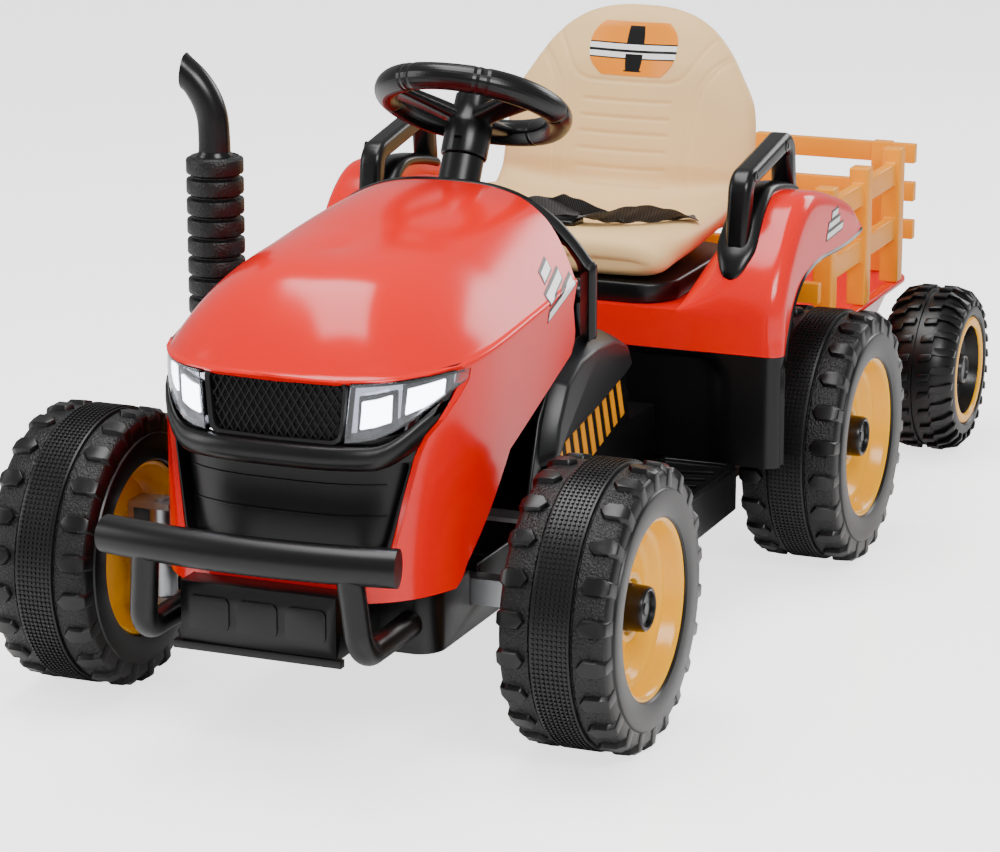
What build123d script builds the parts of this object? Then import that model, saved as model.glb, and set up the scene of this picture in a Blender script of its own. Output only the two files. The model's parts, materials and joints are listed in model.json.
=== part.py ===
from build123d import *
import os
from math import cos, radians, sin

os.makedirs("parts", exist_ok=True)

# Ride-on toy tractor with a two-wheel trailer, in millimetres.
# +Z is up, the tractor faces -Y and its left side is +X. The origin lies on the
# floor, under the middle of the whole length.

# Overall sizes
wheelbase = 631.0            # front axle to rear axle
trailer_reach = 454.0        # rear axle to trailer axle
front_overhang = 221.0       # front axle to the front of the bull bar
rear_overhang = 122.0        # trailer axle to the back of the tub
wheel_radius = 130.0
wheel_width = 106.0
front_track = 498.0
rear_track = 508.0
trailer_wheel_radius = 95.0
trailer_wheel_width = 90.0
trailer_track = 490.0

# Hood and dash
hood_half_width = 150.0
hood_top = 442.0             # highest point, at the dash
hood_rear = 240.0            # front axle to the back edge of the hood
nose_length = 150.0          # front axle to the front of the nose
dash_depth = 60.0
wall = 3.0                   # moulded panels

# Rear body
body_half_width = 257.0
tray_half_width = 190.0      # the part of the body between the rear wheels
body_front = 161.0           # rear axle to the wall in front of the rear wheels
body_back = 104.0            # rear axle to the back wall
floor_height = 92.0
footboard_height = 130.0
colour_split = 245.0         # where the black body ends and the red body begins
deck_height = 285.0
fender_top = 392.0

# Seat
seat_half_width = 140.0
seat_length = 220.0
cushion_top = 345.0
seat_top = 540.0
recline = 18.5

# Steering
steering_height = 508.0      # middle of the steering wheel
steering_reach = 304.0       # front axle to the middle of the steering wheel
steering_tilt = 28.0
steering_radius = 83.0       # middle line of the rim
grip_radius = 13.0
column_height = 426.0        # where the column leaves the dash
shaft_radius = 7.0
crank_height = 212.0         # lower end of the shaft
crank_radius = 26.2
kingpin_inset = 65.0         # wheel middle to king pin
kingpin_radius = 7.0
knuckle_half = 48.0
steering_arm = 60.0
arm_offset = 8.0             # the arm's pin lies this far inside the king pin
wheel_lock = 18.0            # how far a front wheel turns each way
arm_pin_radius = 4.0
axle_radius = 6.0

# Trailer
tub_half_width = 172.0
tub_rim = 12.0
tub_length = 384.0
tub_floor = 118.0
tub_height = 178.0
post_size = 22.0
post_height = 157.0
rail_height = 26.0
rail_depth = 12.0
pin_radius = 6.0
drawbar_height = 110.0

running_fit = 0.06           # radial clearance of a turning pin
free_gap = 2.0               # clearance between moving pieces
seam = 0.3                   # clearance between pieces that only meet

# Nose openings
nose_sweep = 42.0            # how far the sides of the nose lie behind its middle
nose_corner = 55.0
hood_bottom = 150.0
lamp_floor = 288.0           # lower edge of the lamps and the mesh
lamp_roof = 340.0
mesh_half = 64.0
lamp_reach = 130.0           # how far back the lamps wrap round the nose
chin_height = 18.0
skid_top = 165.0
grille_half_top = 126.0
grille_half_bottom = 100.0
grille_floor = 176.0         # lower edge of the grille opening

# Bull bar and skid plate
bar_height = 203.0
bar_half_length = 138.0
bar_radius = 17.0
leg_radius = 12.0
leg_height = 120.0
skid_half_width = 74.0
skid_bottom = 108.0
skid_reach = 178.0           # front axle to the face of the skid plate
skid_wall = 5.0

# Exhaust
stack_x = -200.0
stack_reach = 153.0          # front axle to the stack
stack_bottom = 280.0
stack_top = 471.0
stack_radius = 27.0
ring_pitch = 19.1
pipe_radius = 13.0
pipe_rise = 84.0             # stack to the tip of the pipe

# Places worked out from the sizes above
front_axle_y = front_overhang - (front_overhang + wheelbase + trailer_reach + rear_overhang) / 2
rear_axle_y = front_axle_y + wheelbase
trailer_axle_y = rear_axle_y + trailer_reach
body_front_y = rear_axle_y - body_front
body_back_y = rear_axle_y + body_back
kingpin_x = front_track / 2 - kingpin_inset
wheel_half = wheel_width / 2
bead_radius = wheel_radius - 46.0
hitch_y = body_back_y + 30.0
seat_front_y = body_front_y + 10.0
seat_back_y = seat_front_y + seat_length


def save(piece, name):
    piece.part.label = name
    export_step(piece.part, f"parts/{name}.step")


def outline(plane, *points):
    """A flat shape with straight sides."""
    with BuildSketch(plane) as shape:
        with BuildLine():
            Polyline(*points, close=True)
        make_face()
    return shape.sketch


def side_plane(x):
    """Seen from the tractor's left: local x runs back, local y runs up."""
    return Plane(origin=(x, 0, 0), x_dir=(0, 1, 0), z_dir=(1, 0, 0))


def front_plane(y):
    """Local x runs to the left side and local y runs up; its normal points to the front."""
    return Plane(origin=(0, y, 0), x_dir=(1, 0, 0), z_dir=(0, -1, 0))


def box_between(x0, x1, y0, y1, z0, z1, mode=Mode.ADD):
    """A block between two corners."""
    middle = ((x0 + x1) / 2, (y0 + y1) / 2, (z0 + z1) / 2)
    with Locations(middle):
        Box(x1 - x0, y1 - y0, z1 - z0, mode=mode)


# ---------------------------------------------------------------- hood and nose

# from the nose to the dash: distance behind the front axle, share of the width, top, shoulder
hood_stations = [
    (-nose_length - 15, 0.94, hood_top - 107, hood_top - 150),
    (-nose_length + 25, 0.97, hood_top - 56, hood_top - 135),
    (-60, 1.0, hood_top - 30, hood_top - 122),
    (80, 1.0, hood_top - 12, hood_top - 107),
    (hood_rear + dash_depth, 1.0, hood_top, hood_top - 100),
]


def hood_section(distance, half_width, top, shoulder):
    rise = top - shoulder
    with BuildSketch(front_plane(front_axle_y + distance)) as section:
        with BuildLine():
            crown = Spline(
                (-half_width, shoulder),
                (-0.82 * half_width, shoulder + 0.55 * rise),
                (-0.52 * half_width, shoulder + 0.91 * rise),
                (0, top),
                (0.52 * half_width, shoulder + 0.91 * rise),
                (0.82 * half_width, shoulder + 0.55 * rise),
                (half_width, shoulder),
                tangents=[(0, 1), (0, -1)],
            )
            Polyline(crown @ 1, (half_width, hood_bottom), (-half_width, hood_bottom), crown @ 0)
        make_face()
    return section.sketch


def hood_sections(inset):
    return [
        hood_section(distance, hood_half_width * share - inset, top - inset, shoulder - inset)
        for distance, share, top, shoulder in hood_stations
    ]


def nose_plan(inset, height):
    """The nose seen from above, swept back at both sides."""
    front = front_axle_y - nose_length + inset
    half = hood_half_width - inset
    back = front_axle_y + hood_rear + dash_depth
    with BuildSketch(Plane.XY.offset(height)) as plan:
        with BuildLine():
            arc = ThreePointArc((-half, front + nose_sweep), (0, front), (half, front + nose_sweep))
            Polyline(arc @ 1, (half, back), (-half, back), arc @ 0)
        make_face()
        fillet(plan.vertices().sort_by(Axis.Y)[0:2], nose_corner - inset)
    return plan.sketch


def nose_layer(inset, thickness, face):
    """A panel of even thickness that follows the nose, as wide and high as the face outline."""
    with BuildPart() as layer:
        extrude(nose_plan(inset, 0), amount=hood_top)
        extrude(nose_plan(inset + thickness, 0), amount=hood_top, mode=Mode.SUBTRACT)
        extrude(face, amount=-lamp_reach, mode=Mode.INTERSECT)
    return layer.part


def nose_face(*points):
    """An outline on a plane just in front of the nose."""
    return outline(front_plane(front_axle_y - nose_length - 10), *points)


def lamp_outline(gap):
    return [
        (mesh_half + gap, lamp_floor + gap),
        (100, lamp_floor + 4 + gap),
        (hood_half_width - 4 - gap, lamp_floor + 34 + gap),
        (hood_half_width + 6 - gap, lamp_roof + 4 - gap),
        (mesh_half + gap, lamp_roof - gap),
    ]


lamp_band = (
    [(mesh_half, lamp_roof), (-mesh_half, lamp_roof)]
    + [(-x, z) for x, z in lamp_outline(0)[:-1]][::-1]
    + lamp_outline(0)[:-1]
)
chin_top = lamp_floor - 2
grille_opening = [
    (-grille_half_top, lamp_floor + 1),
    (grille_half_top, lamp_floor + 1),
    (grille_half_bottom, grille_floor),
    (-grille_half_bottom, grille_floor),
]


def grille_half(z):
    """Half the width of the grille opening at a height."""
    share = (z - grille_floor) / (lamp_floor + 1 - grille_floor)
    return grille_half_bottom + (grille_half_top - grille_half_bottom) * share


def hood_slice(inset):
    """The whole hood as a solid, smaller all round by the inset."""
    with BuildPart() as piece:
        loft(hood_sections(inset))
        extrude(nose_plan(inset, 0), amount=hood_top + 5, mode=Mode.INTERSECT)
    return piece.part


# the hood from the side, from the bottom of the nose up over the wheel to the dash
hood_profile = [
    (front_axle_y - nose_length - 20, hood_bottom),
    (front_axle_y - 62, hood_bottom),
    (front_axle_y - 53, hood_bottom + 17),
    (front_axle_y + 30, hood_bottom + 103),
    (front_axle_y + hood_rear - 52, hood_top - 121),
    (front_axle_y + hood_rear - 57, hood_top - 92),
    (front_axle_y + hood_rear, hood_top + 5),
    (front_axle_y - nose_length - 20, hood_top + 5),
]
with BuildPart() as hood_shell:
    add(hood_slice(0))
    add(hood_slice(wall), mode=Mode.SUBTRACT)
    profile = outline(side_plane(-hood_half_width - 5), *hood_profile)
    extrude(profile, amount=2 * hood_half_width + 10, mode=Mode.INTERSECT)
    extrude(nose_face(*lamp_band), amount=-lamp_reach, mode=Mode.SUBTRACT)
    extrude(nose_face(*grille_opening), amount=-lamp_reach, mode=Mode.SUBTRACT)
save(hood_shell, "hood_shell")

with BuildPart() as grille_mesh:
    mesh_face = [(-mesh_half, lamp_floor), (mesh_half, lamp_floor)]
    mesh_face += [(mesh_half, lamp_roof), (-mesh_half, lamp_roof)]
    add(nose_layer(8, 4, nose_face(*mesh_face)))
save(grille_mesh, "grille_mesh")

with BuildPart() as headlight_housings:
    add(nose_layer(14, 12, nose_face(*lamp_outline(seam))))
    mirror(about=Plane.YZ)
save(headlight_housings, "headlight_housings")

with BuildPart() as headlight_lenses:
    add(nose_layer(1, 2.5, nose_face(*lamp_outline(seam))))
    mirror(about=Plane.YZ)
save(headlight_lenses, "headlight_lenses")

with BuildPart() as headlight_leds:
    for led_x, led_z in [(82, lamp_floor + 22), (116, lamp_floor + 34)]:
        led = nose_face(
            (led_x - 9, led_z - 9), (led_x + 9, led_z - 9), (led_x + 9, led_z + 9), (led_x - 9, led_z + 9)
        )
        add(nose_layer(6, 8, led))
    mirror(about=Plane.YZ)
save(headlight_leds, "headlight_leds")

with BuildPart() as grille_panel:
    behind = [(-118, skid_top + seam), (118, skid_top + seam)]
    behind += [(130, chin_top - chin_height), (-130, chin_top - chin_height)]
    add(nose_layer(12, 4, nose_face(*behind)))
    chin_low = grille_half(chin_top - chin_height) - 1
    chin_high = grille_half(chin_top) - 1
    chin = [(-chin_low, chin_top - chin_height), (chin_low, chin_top - chin_height)]
    chin += [(chin_high, chin_top), (-chin_high, chin_top)]
    add(nose_layer(-1, 17, nose_face(*chin)))
save(grille_panel, "grille_panel")

# ---------------------------------------------------------------- dash and column

dash_front = front_axle_y + hood_rear - 55
dash_back = front_axle_y + hood_rear + dash_depth
dash_profile = [
    (dash_front + 12, hood_top - 118),
    (dash_front + 12 + wall, hood_top - 92),
    (front_axle_y + hood_rear + seam, hood_top + 5),
    (dash_back, hood_top + 5),
    (dash_back, hood_top - 30),
    (dash_back - 40, hood_top - 118),
]
column_plane = Plane(
    origin=(0, front_axle_y + steering_reach, steering_height),
    x_dir=(1, 0, 0),
    z_dir=(0, sin(radians(steering_tilt)), cos(radians(steering_tilt))),
)
column_axis = Axis(column_plane.origin, column_plane.z_dir)
column_length = (steering_height - column_height) / cos(radians(steering_tilt))
shaft_length = (steering_height - crank_height) / cos(radians(steering_tilt))
skirt_top = 15.0
skirt_bottom = 52.0
column_radius = 20.0
skirt_radius = 22.5


def dash_block(inset, setback):
    """The part of the hood's shape behind the hood, moved forward by the setback."""
    profile = [(y - setback, z) for y, z in dash_profile]
    with BuildPart() as block:
        add(hood_slice(inset))
        face = outline(side_plane(-hood_half_width - 5), *profile)
        extrude(face, amount=2 * hood_half_width + 10, mode=Mode.INTERSECT)
    return block.part


dash_inset = 1.0

with BuildPart() as dash_trim:
    add(dash_block(dash_inset, 0))
    add(dash_block(dash_inset + wall, 2 * wall), mode=Mode.SUBTRACT)
    with BuildSketch(column_plane.offset(-column_length - 40)):
        Circle(column_radius)
    extrude(amount=80, mode=Mode.SUBTRACT)
save(dash_trim, "dash_trim")

with BuildPart() as column_sleeve:
    with BuildSketch(column_plane.offset(-skirt_bottom - free_gap)):
        Circle(column_radius)
    extrude(amount=-(column_length - skirt_bottom + 20))
    with BuildSketch(column_plane.offset(-column_length - 18)):
        Circle(column_radius + 10)
    extrude(amount=-5)
    with BuildSketch(column_plane):
        Circle(shaft_radius + running_fit)
    extrude(amount=-shaft_length, mode=Mode.SUBTRACT)
save(column_sleeve, "column_sleeve")

with BuildPart() as steering_shaft:
    with BuildSketch(column_plane.offset(-skirt_top + 5)):
        Circle(shaft_radius)
    extrude(amount=-(shaft_length - skirt_top + 5))
    crank_plane = column_plane.offset(-shaft_length)
    with BuildSketch(crank_plane):
        with Locations((0, crank_radius / 2)):
            SlotOverall(crank_radius + 18, 18, rotation=90)
    extrude(amount=-6)
    with BuildSketch(crank_plane.offset(-6)):
        with Locations((0, crank_radius)):
            Circle(arm_pin_radius)
    extrude(amount=-30)
save(steering_shaft, "steering_shaft")

with BuildPart() as steering_wheel:
    with BuildSketch(Plane(origin=column_plane.origin, x_dir=(1, 0, 0), z_dir=-column_plane.y_dir)):
        with Locations((steering_radius, 0)):
            Circle(grip_radius)
    revolve(axis=column_axis)
    with BuildSketch(column_plane.offset(-skirt_bottom)):
        Circle(skirt_radius)
    extrude(amount=skirt_bottom + 6)
    for angle in (-90 - 62, -90 + 62, 90):
        with BuildSketch(column_plane.offset(-9)):
            with Locations(Location((0, 0), angle)):
                with Locations((steering_radius / 2, 0)):
                    Rectangle(steering_radius, 24)
        extrude(amount=13)
    with BuildSketch(column_plane.offset(-skirt_bottom - 1)):
        Circle(shaft_radius)
    extrude(amount=skirt_bottom + 1 - skirt_top + 5, mode=Mode.SUBTRACT)
    with BuildSketch(column_plane.offset(1)):
        Circle(17.5)
    extrude(amount=10, mode=Mode.SUBTRACT)
save(steering_wheel, "steering_wheel")

with BuildPart() as horn_button:
    with BuildSketch(column_plane.offset(4.5)):
        Circle(17)
    extrude(amount=9)
    fillet(horn_button.edges().filter_by(GeomType.CIRCLE).group_by(Axis.Z)[-1], 2)
save(horn_button, "horn_button")

# ---------------------------------------------------------------- wheels

def wheel_plane(side, track, axle_y, radius):
    """Through the axle: local x runs outward along it, local y runs up."""
    return Plane(origin=(side * track / 2, axle_y, radius), x_dir=(side, 0, 0), z_dir=(0, -side, 0))


def turned(plane, *points):
    """A round piece, from half of its section as (along the axle, away from the axle)."""
    with BuildPart() as piece:
        revolve(outline(plane, *points), axis=Axis(plane.origin, (1, 0, 0)))
    return piece


def tyre_section(half, radius, bead):
    return [
        (-half, bead), (-half, 0.83 * radius), (-0.84 * half, 0.95 * radius), (-0.5 * half, radius),
        (0.5 * half, radius), (0.84 * half, 0.95 * radius), (half, 0.83 * radius), (half, bead),
    ]


def make_tyre(plane, radius, half, bead):
    skin = 5.0
    outer = tyre_section(half, radius, bead)
    inner = tyre_section(half - skin, radius - skin, bead)
    return turned(plane, *outer, *inner[::-1])


def make_rim(plane, half, bead, bore):
    lip = half - 4
    bowl = 0.73 * bead
    boss = 14.0
    return turned(
        plane,
        (-half + 19, bore), (half * 0.5, bore), (half * 0.5, boss), (4, boss), (4, bowl),
        (lip - 6, bowl + 8), (lip, bowl + 10), (lip, bead), (-lip, bead), (-lip, bead - 6),
        (-4, bead - 6), (-4, boss), (-half + 19, boss),
    )


def make_cap(plane, half):
    end = 0.74 * half
    return turned(plane, (4, 16), (4, 21), (end, 21), (end, 0), (end - 4, 0), (end - 4, 16))


for place, track, axle_y in [("front", front_track, front_axle_y), ("rear", rear_track, rear_axle_y)]:
    for hand, side in [("left", 1), ("right", -1)]:
        plane = wheel_plane(side, track, axle_y, wheel_radius)
        save(make_tyre(plane, wheel_radius, wheel_half, bead_radius), f"{place}_{hand}_tyre")
        save(make_rim(plane, wheel_half, bead_radius, axle_radius + running_fit), f"{place}_{hand}_rim")
        save(make_cap(plane, wheel_half), f"{place}_{hand}_hub_cap")

trailer_half = trailer_wheel_width / 2
trailer_bead = trailer_wheel_radius - 33.0
for hand, side in [("left", 1), ("right", -1)]:
    plane = wheel_plane(side, trailer_track, trailer_axle_y, trailer_wheel_radius)
    save(make_tyre(plane, trailer_wheel_radius, trailer_half, trailer_bead), f"trailer_{hand}_tyre")
    save(make_rim(plane, trailer_half, trailer_bead, axle_radius + running_fit), f"trailer_{hand}_rim")

# ---------------------------------------------------------------- steering and front axle

arm_x = kingpin_x - arm_offset
arm_y = front_axle_y + steering_arm
plate = 6.0

with BuildPart() as front_axle_beam:
    box_between(-kingpin_x, kingpin_x, front_axle_y - 10, front_axle_y + 10,
                wheel_radius - 12, wheel_radius + 12)
    with Locations((kingpin_x, front_axle_y, wheel_radius), (-kingpin_x, front_axle_y, wheel_radius)):
        Cylinder(13, 2 * (knuckle_half - plate - seam))
        Cylinder(kingpin_radius + running_fit, 2 * knuckle_half, mode=Mode.SUBTRACT)
save(front_axle_beam, "front_axle_beam")


def make_knuckle(side):
    outer_x = kingpin_x + 22
    with BuildPart() as knuckle:
        with Locations((kingpin_x, front_axle_y, wheel_radius)):
            Cylinder(kingpin_radius, 2 * knuckle_half + 4)
        for low in (-knuckle_half, knuckle_half - plate):
            z = wheel_radius + low
            box_between(kingpin_x - 14, outer_x + plate, front_axle_y - 14, front_axle_y + 14, z, z + plate)
        z = wheel_radius - knuckle_half
        box_between(outer_x, outer_x + plate, front_axle_y - 14, front_axle_y + 14, z, z + 2 * knuckle_half)
        stub = front_track / 2 + 0.6 * wheel_half - outer_x
        with BuildSketch(side_plane(outer_x)):
            with Locations((front_axle_y, wheel_radius)):
                Circle(axle_radius)
        extrude(amount=stub)
        z = wheel_radius + knuckle_half - plate
        box_between(arm_x - 8, arm_x + 8, front_axle_y, arm_y + 8, z, z + plate)
        with Locations((arm_x, arm_y, z + plate + 6)):
            Cylinder(arm_pin_radius, 12)
        if side < 0:
            mirror(about=Plane.YZ, mode=Mode.REPLACE)
    return knuckle


save(make_knuckle(1), "knuckle_left")
save(make_knuckle(-1), "knuckle_right")

with BuildPart() as tie_rod:
    rod_z = wheel_radius + knuckle_half + free_gap
    fork_half = 18.0
    fork_reach = 115.0
    pin_back = steering_arm * (1 - cos(radians(wheel_lock))) + arm_offset * sin(radians(wheel_lock))
    slot_y = arm_y - pin_back / 2
    slot_width = 2 * arm_pin_radius + 2
    with BuildSketch(Plane.XY.offset(rod_z)):
        with Locations((0, slot_y)):
            Rectangle(2 * arm_x + 24, slot_width + pin_back + 10)
        with Locations((0, arm_y + fork_reach / 2)):
            Rectangle(2 * fork_half, fork_reach)
        with Locations((0, arm_y + fork_reach - 15)):
            Rectangle(2 * (arm_pin_radius + free_gap), 40, mode=Mode.SUBTRACT)
        with Locations((arm_x, slot_y), (-arm_x, slot_y)):
            SlotOverall(slot_width + pin_back + 1.5, slot_width, rotation=90, mode=Mode.SUBTRACT)
    extrude(amount=4)
save(tie_rod, "tie_rod")

# ---------------------------------------------------------------- chassis

tunnel_half = 130.0
board_half = 215.0
board_front = front_axle_y + 200
skirt_half = 128.0
tray_front = front_axle_y - nose_length + 60

with BuildPart() as chassis_pan:
    # tray under the hood, with a notch for the axle beam in both sides
    box_between(-skirt_half, skirt_half, tray_front, board_front, floor_height, hood_bottom)
    box_between(-skirt_half + 4, skirt_half - 4, tray_front + 4, board_front - 4,
                floor_height + 4, hood_bottom, mode=Mode.SUBTRACT)
    box_between(-skirt_half, skirt_half, front_axle_y - 10 - seam, front_axle_y + 10 + seam,
                wheel_radius - 12 - seam, hood_bottom, mode=Mode.SUBTRACT)
    # footboards, hollow from below
    with BuildSketch(Plane.XY.offset(floor_height - 6)):
        with Locations((0, (board_front + body_front_y) / 2)):
            Rectangle(2 * board_half, body_front_y - board_front)
    extrude(amount=footboard_height - floor_height + 6)
    fillet(chassis_pan.edges().filter_by(Axis.Z).sort_by(SortBy.DISTANCE)[-4:], 24)
    box_between(-board_half + 5, board_half - 5, board_front + 5, body_front_y - 5,
                floor_height - 6, footboard_height - 5, mode=Mode.SUBTRACT)
    # floor that carries the battery
    box_between(-tray_half_width + 10, tray_half_width - 10, body_front_y - 5, body_back_y - 8,
                floor_height, floor_height + 4)
save(chassis_pan, "chassis_pan")

with BuildPart() as console:
    console_profile = [
        (board_front - 85, hood_bottom + seam),
        (body_front_y - 10, footboard_height + seam),
        (body_front_y - 10, footboard_height + 60),
        (board_front + 187, footboard_height + 60),
        (board_front + 187, footboard_height + 90),
        (board_front + 128, footboard_height + 133),
        (board_front - 10, footboard_height + 160),
        (board_front - 50, footboard_height + 118),
    ]
    console_profile[1:1] = [(board_front, hood_bottom + seam), (board_front, footboard_height + seam)]
    extrude(outline(side_plane(-tunnel_half), *console_profile), amount=2 * tunnel_half)
    # open below, and open in front where the steering shaft comes down
    console_inside = [
        (board_front - 110, footboard_height), (body_front_y - 14, footboard_height),
        (body_front_y - 14, footboard_height + 56), (board_front + 183, footboard_height + 56),
        (board_front + 183, footboard_height + 87), (board_front + 126, footboard_height + 128),
        (board_front + 15, footboard_height + 149), (board_front - 50, footboard_height + 190),
        (board_front - 110, footboard_height + 118),
    ]
    hollow = outline(side_plane(-tunnel_half + 4), *console_inside)
    extrude(hollow, amount=2 * tunnel_half - 8, mode=Mode.SUBTRACT)
save(console, "console")

with BuildPart() as bull_bar:
    bar_y = front_axle_y - front_overhang + bar_radius
    bar_end = (bar_half_length, bar_y + 14, bar_height)
    with BuildLine() as bar_line:
        ThreePointArc((-bar_half_length, bar_y + 14, bar_height), (0, bar_y, bar_height), bar_end)
    with BuildSketch(Plane(bar_line.line @ 0, z_dir=bar_line.line % 0)):
        Circle(bar_radius)
    sweep(path=bar_line.line)
    for side in (-1, 1):
        with BuildLine() as leg_line:
            FilletPolyline(
                (side * 96, bar_y + 6, bar_height - 4),
                (side * 104, bar_y + 12, leg_height),
                (side * 104, tray_front, leg_height),
                radius=2 * leg_radius,
            )
        with BuildSketch(Plane(leg_line.line @ 0, z_dir=leg_line.line % 0)):
            Circle(leg_radius)
        sweep(path=leg_line.line)
save(bull_bar, "bull_bar")

with BuildPart() as skid_plate:
    plate_front = front_axle_y - skid_reach
    plate_back = front_axle_y - nose_length + 59
    inner = skid_half_width - skid_wall
    lip = skid_half_width + 6
    box_between(-skid_half_width, skid_half_width, plate_front, plate_back, skid_bottom, skid_top)
    box_between(-inner, inner, plate_front + skid_wall, plate_back, skid_bottom + skid_wall,
                skid_top - skid_wall, mode=Mode.SUBTRACT)
    # lower behind the nose, where it runs under the hood
    box_between(-lip, lip, front_axle_y - nose_length - free_gap, plate_back + 1, hood_bottom - seam,
                skid_top + 1, mode=Mode.SUBTRACT)
    box_between(-lip, lip, plate_front - 4, plate_front + 4, skid_bottom - 4, skid_bottom + 3)
    for x in (-46, 0, 46):
        with BuildSketch(front_plane(plate_front)):
            with Locations((x, (skid_bottom + skid_top) / 2 + 2)):
                RectangleRounded(38, 30, 6)
        extrude(amount=2.5)
save(skid_plate, "skid_plate")

# ---------------------------------------------------------------- exhaust

stack_y = front_axle_y + stack_reach

with BuildPart() as exhaust_stack:
    rings = round((stack_top - stack_bottom) / ring_pitch)
    for ring in range(rings):
        z = stack_bottom + ring * ring_pitch
        with Locations((stack_x, stack_y, z + ring_pitch / 2)):
            Cylinder(stack_radius - 5, ring_pitch)
            Cylinder(stack_radius, ring_pitch - 5)
    box_between(stack_x, -hood_half_width - seam, stack_y - 12, stack_y + 12,
                stack_bottom + 42, stack_bottom + 72)
save(exhaust_stack, "exhaust_stack")

with BuildPart() as exhaust_pipe:
    tip = Vector(stack_x - 26, stack_y - 6, stack_top + pipe_rise)
    with BuildLine() as pipe_line:
        bend = (stack_x, stack_y, stack_top + pipe_rise - 38)
        FilletPolyline((stack_x, stack_y, stack_top), bend, tip, radius=30)
    with BuildSketch(Plane.XY.offset(stack_top)):
        with Locations((stack_x, stack_y)):
            Circle(pipe_radius)
            Circle(pipe_radius - 3, mode=Mode.SUBTRACT)
    sweep(path=pipe_line.line)
    split(bisect_by=Plane.XY.offset(stack_top + pipe_rise - 3), keep=Keep.BOTTOM)
save(exhaust_pipe, "exhaust_pipe")

# ---------------------------------------------------------------- rear body

def from_rear_axle(points):
    return [(rear_axle_y + y, z) for y, z in points]


arch_clearance = 22.0
arch_front = -(wheel_radius + arch_clearance)
arch_top = 2 * wheel_radius + 60
# the wheel arch from the side, from the bottom in front of the wheel to the tip behind it
arch_line = [
    (arch_front + 4, floor_height), (arch_front + 8, 235), (-118, arch_top - 29),
    (-91, arch_top - 7), (-46, arch_top + 2), (31, arch_top), (98, arch_top + 3),
]
# the top of the fender, from the tip forward and down to the wall in front of the wheel
fender_line = [
    (110, arch_top + 12), (66, fender_top - 30), (29, fender_top - 19), (-51, fender_top),
    (-104, fender_top - 19), (-body_front, deck_height + 15),
]
fender_inner = tray_half_width - 4
seat_gap = fender_inner - seat_half_width


def arch_from(height):
    """The wheel arch above a height; the first point is moved up to it."""
    above = [point for point in arch_line if point[1] > height]
    return [(arch_front + 7, height)] + above


fender_shape = from_rear_axle(arch_from(colour_split) + fender_line + [(-body_front, colour_split)])
lining = [
    (-body_front + 4, colour_split - 5), (arch_front + 20, colour_split - 5), (-60, arch_top - 40),
    (40, arch_top - 40), (95, arch_top - 20), (104, arch_top + 10),
    (64, fender_top - 34), (29, fender_top - 23), (-51, fender_top - 4),
    (-102, fender_top - 23), (-body_front + 4, deck_height + 12),
]

with BuildPart() as rear_body_shell:
    box_between(-tray_half_width, tray_half_width, body_front_y, body_back_y, colour_split, deck_height)
    box_between(-tray_half_width + 4, tray_half_width - 4, body_front_y + 4, body_back_y - 4,
                colour_split - 5, deck_height - 4, mode=Mode.SUBTRACT)
    fender_width = body_half_width - fender_inner
    for low in (fender_inner, -body_half_width):
        extrude(outline(side_plane(low), *fender_shape), amount=fender_width)
        hollow = outline(side_plane(low + 4), *from_rear_axle(lining))
        extrude(hollow, amount=fender_width - 8, mode=Mode.SUBTRACT)
    for side in (-1, 1):
        shoulder = outline(
            front_plane(body_front_y + 12),
            (side * (seat_half_width + seat_gap * 0.17), deck_height - 2),
            (side * fender_inner, deck_height - 2),
            (side * fender_inner, deck_height + 70),
            (side * (seat_half_width + seat_gap * 0.56), deck_height + 16),
        )
        extrude(shoulder, amount=-seat_length)
save(rear_body_shell, "rear_body_shell")

with BuildPart() as rear_lower_body:
    box_between(-tray_half_width, tray_half_width, body_front_y, body_back_y,
                floor_height + 4 + seam, colour_split)
    box_between(-tray_half_width + 4, tray_half_width - 4, body_front_y + 4, body_back_y - 4,
                floor_height, colour_split, mode=Mode.SUBTRACT)
    wing = [(-body_front, footboard_height + seam), (arch_front + 4, footboard_height + seam)]
    wing += [(arch_front + 7, colour_split), (-body_front, colour_split)]
    for low in (tray_half_width - 4, -body_half_width):
        extrude(outline(side_plane(low), *from_rear_axle(wing)), amount=body_half_width - tray_half_width + 4)
    with BuildSketch(side_plane(-tray_half_width - 5)):
        with Locations((rear_axle_y, wheel_radius)):
            Circle(axle_radius + 3)
    extrude(amount=2 * tray_half_width + 10, mode=Mode.SUBTRACT)
save(rear_lower_body, "rear_lower_body")

trim_depth = 5.0

with BuildPart() as arch_trims:
    line = from_rear_axle(arch_from(colour_split))
    lifted = [(y - 1.5, z - trim_depth) for y, z in line[::-1]]
    lifted[-1] = (line[0][0] + trim_depth, line[0][1])
    under = [
        (y + (4 if z < arch_top - 20 else 0), z - (trim_depth if z > arch_top - 40 else 0))
        for y, z in line
    ]
    extrude(outline(side_plane(body_half_width - 12), *line, *under[::-1]), amount=14)
    mirror(about=Plane.YZ)
save(arch_trims, "arch_trims")

# ---------------------------------------------------------------- seat, belt and armrests

tray_top = deck_height + 21

with BuildPart() as seat_base:
    with BuildSketch(Plane.XY.offset(deck_height)):
        with Locations((0, (seat_front_y + seat_back_y) / 2)):
            RectangleRounded(2 * seat_half_width - 10, seat_length, 40)
    extrude(amount=tray_top - deck_height)
save(seat_base, "seat_base")

back_plane = Plane(
    origin=(0, seat_back_y - 12, tray_top + 14),
    x_dir=(1, 0, 0),
    z_dir=(0, -cos(radians(recline)), sin(radians(recline))),
)
back_length = (seat_top - tray_top - 14) / cos(radians(recline))
back_thickness = 34.0

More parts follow.
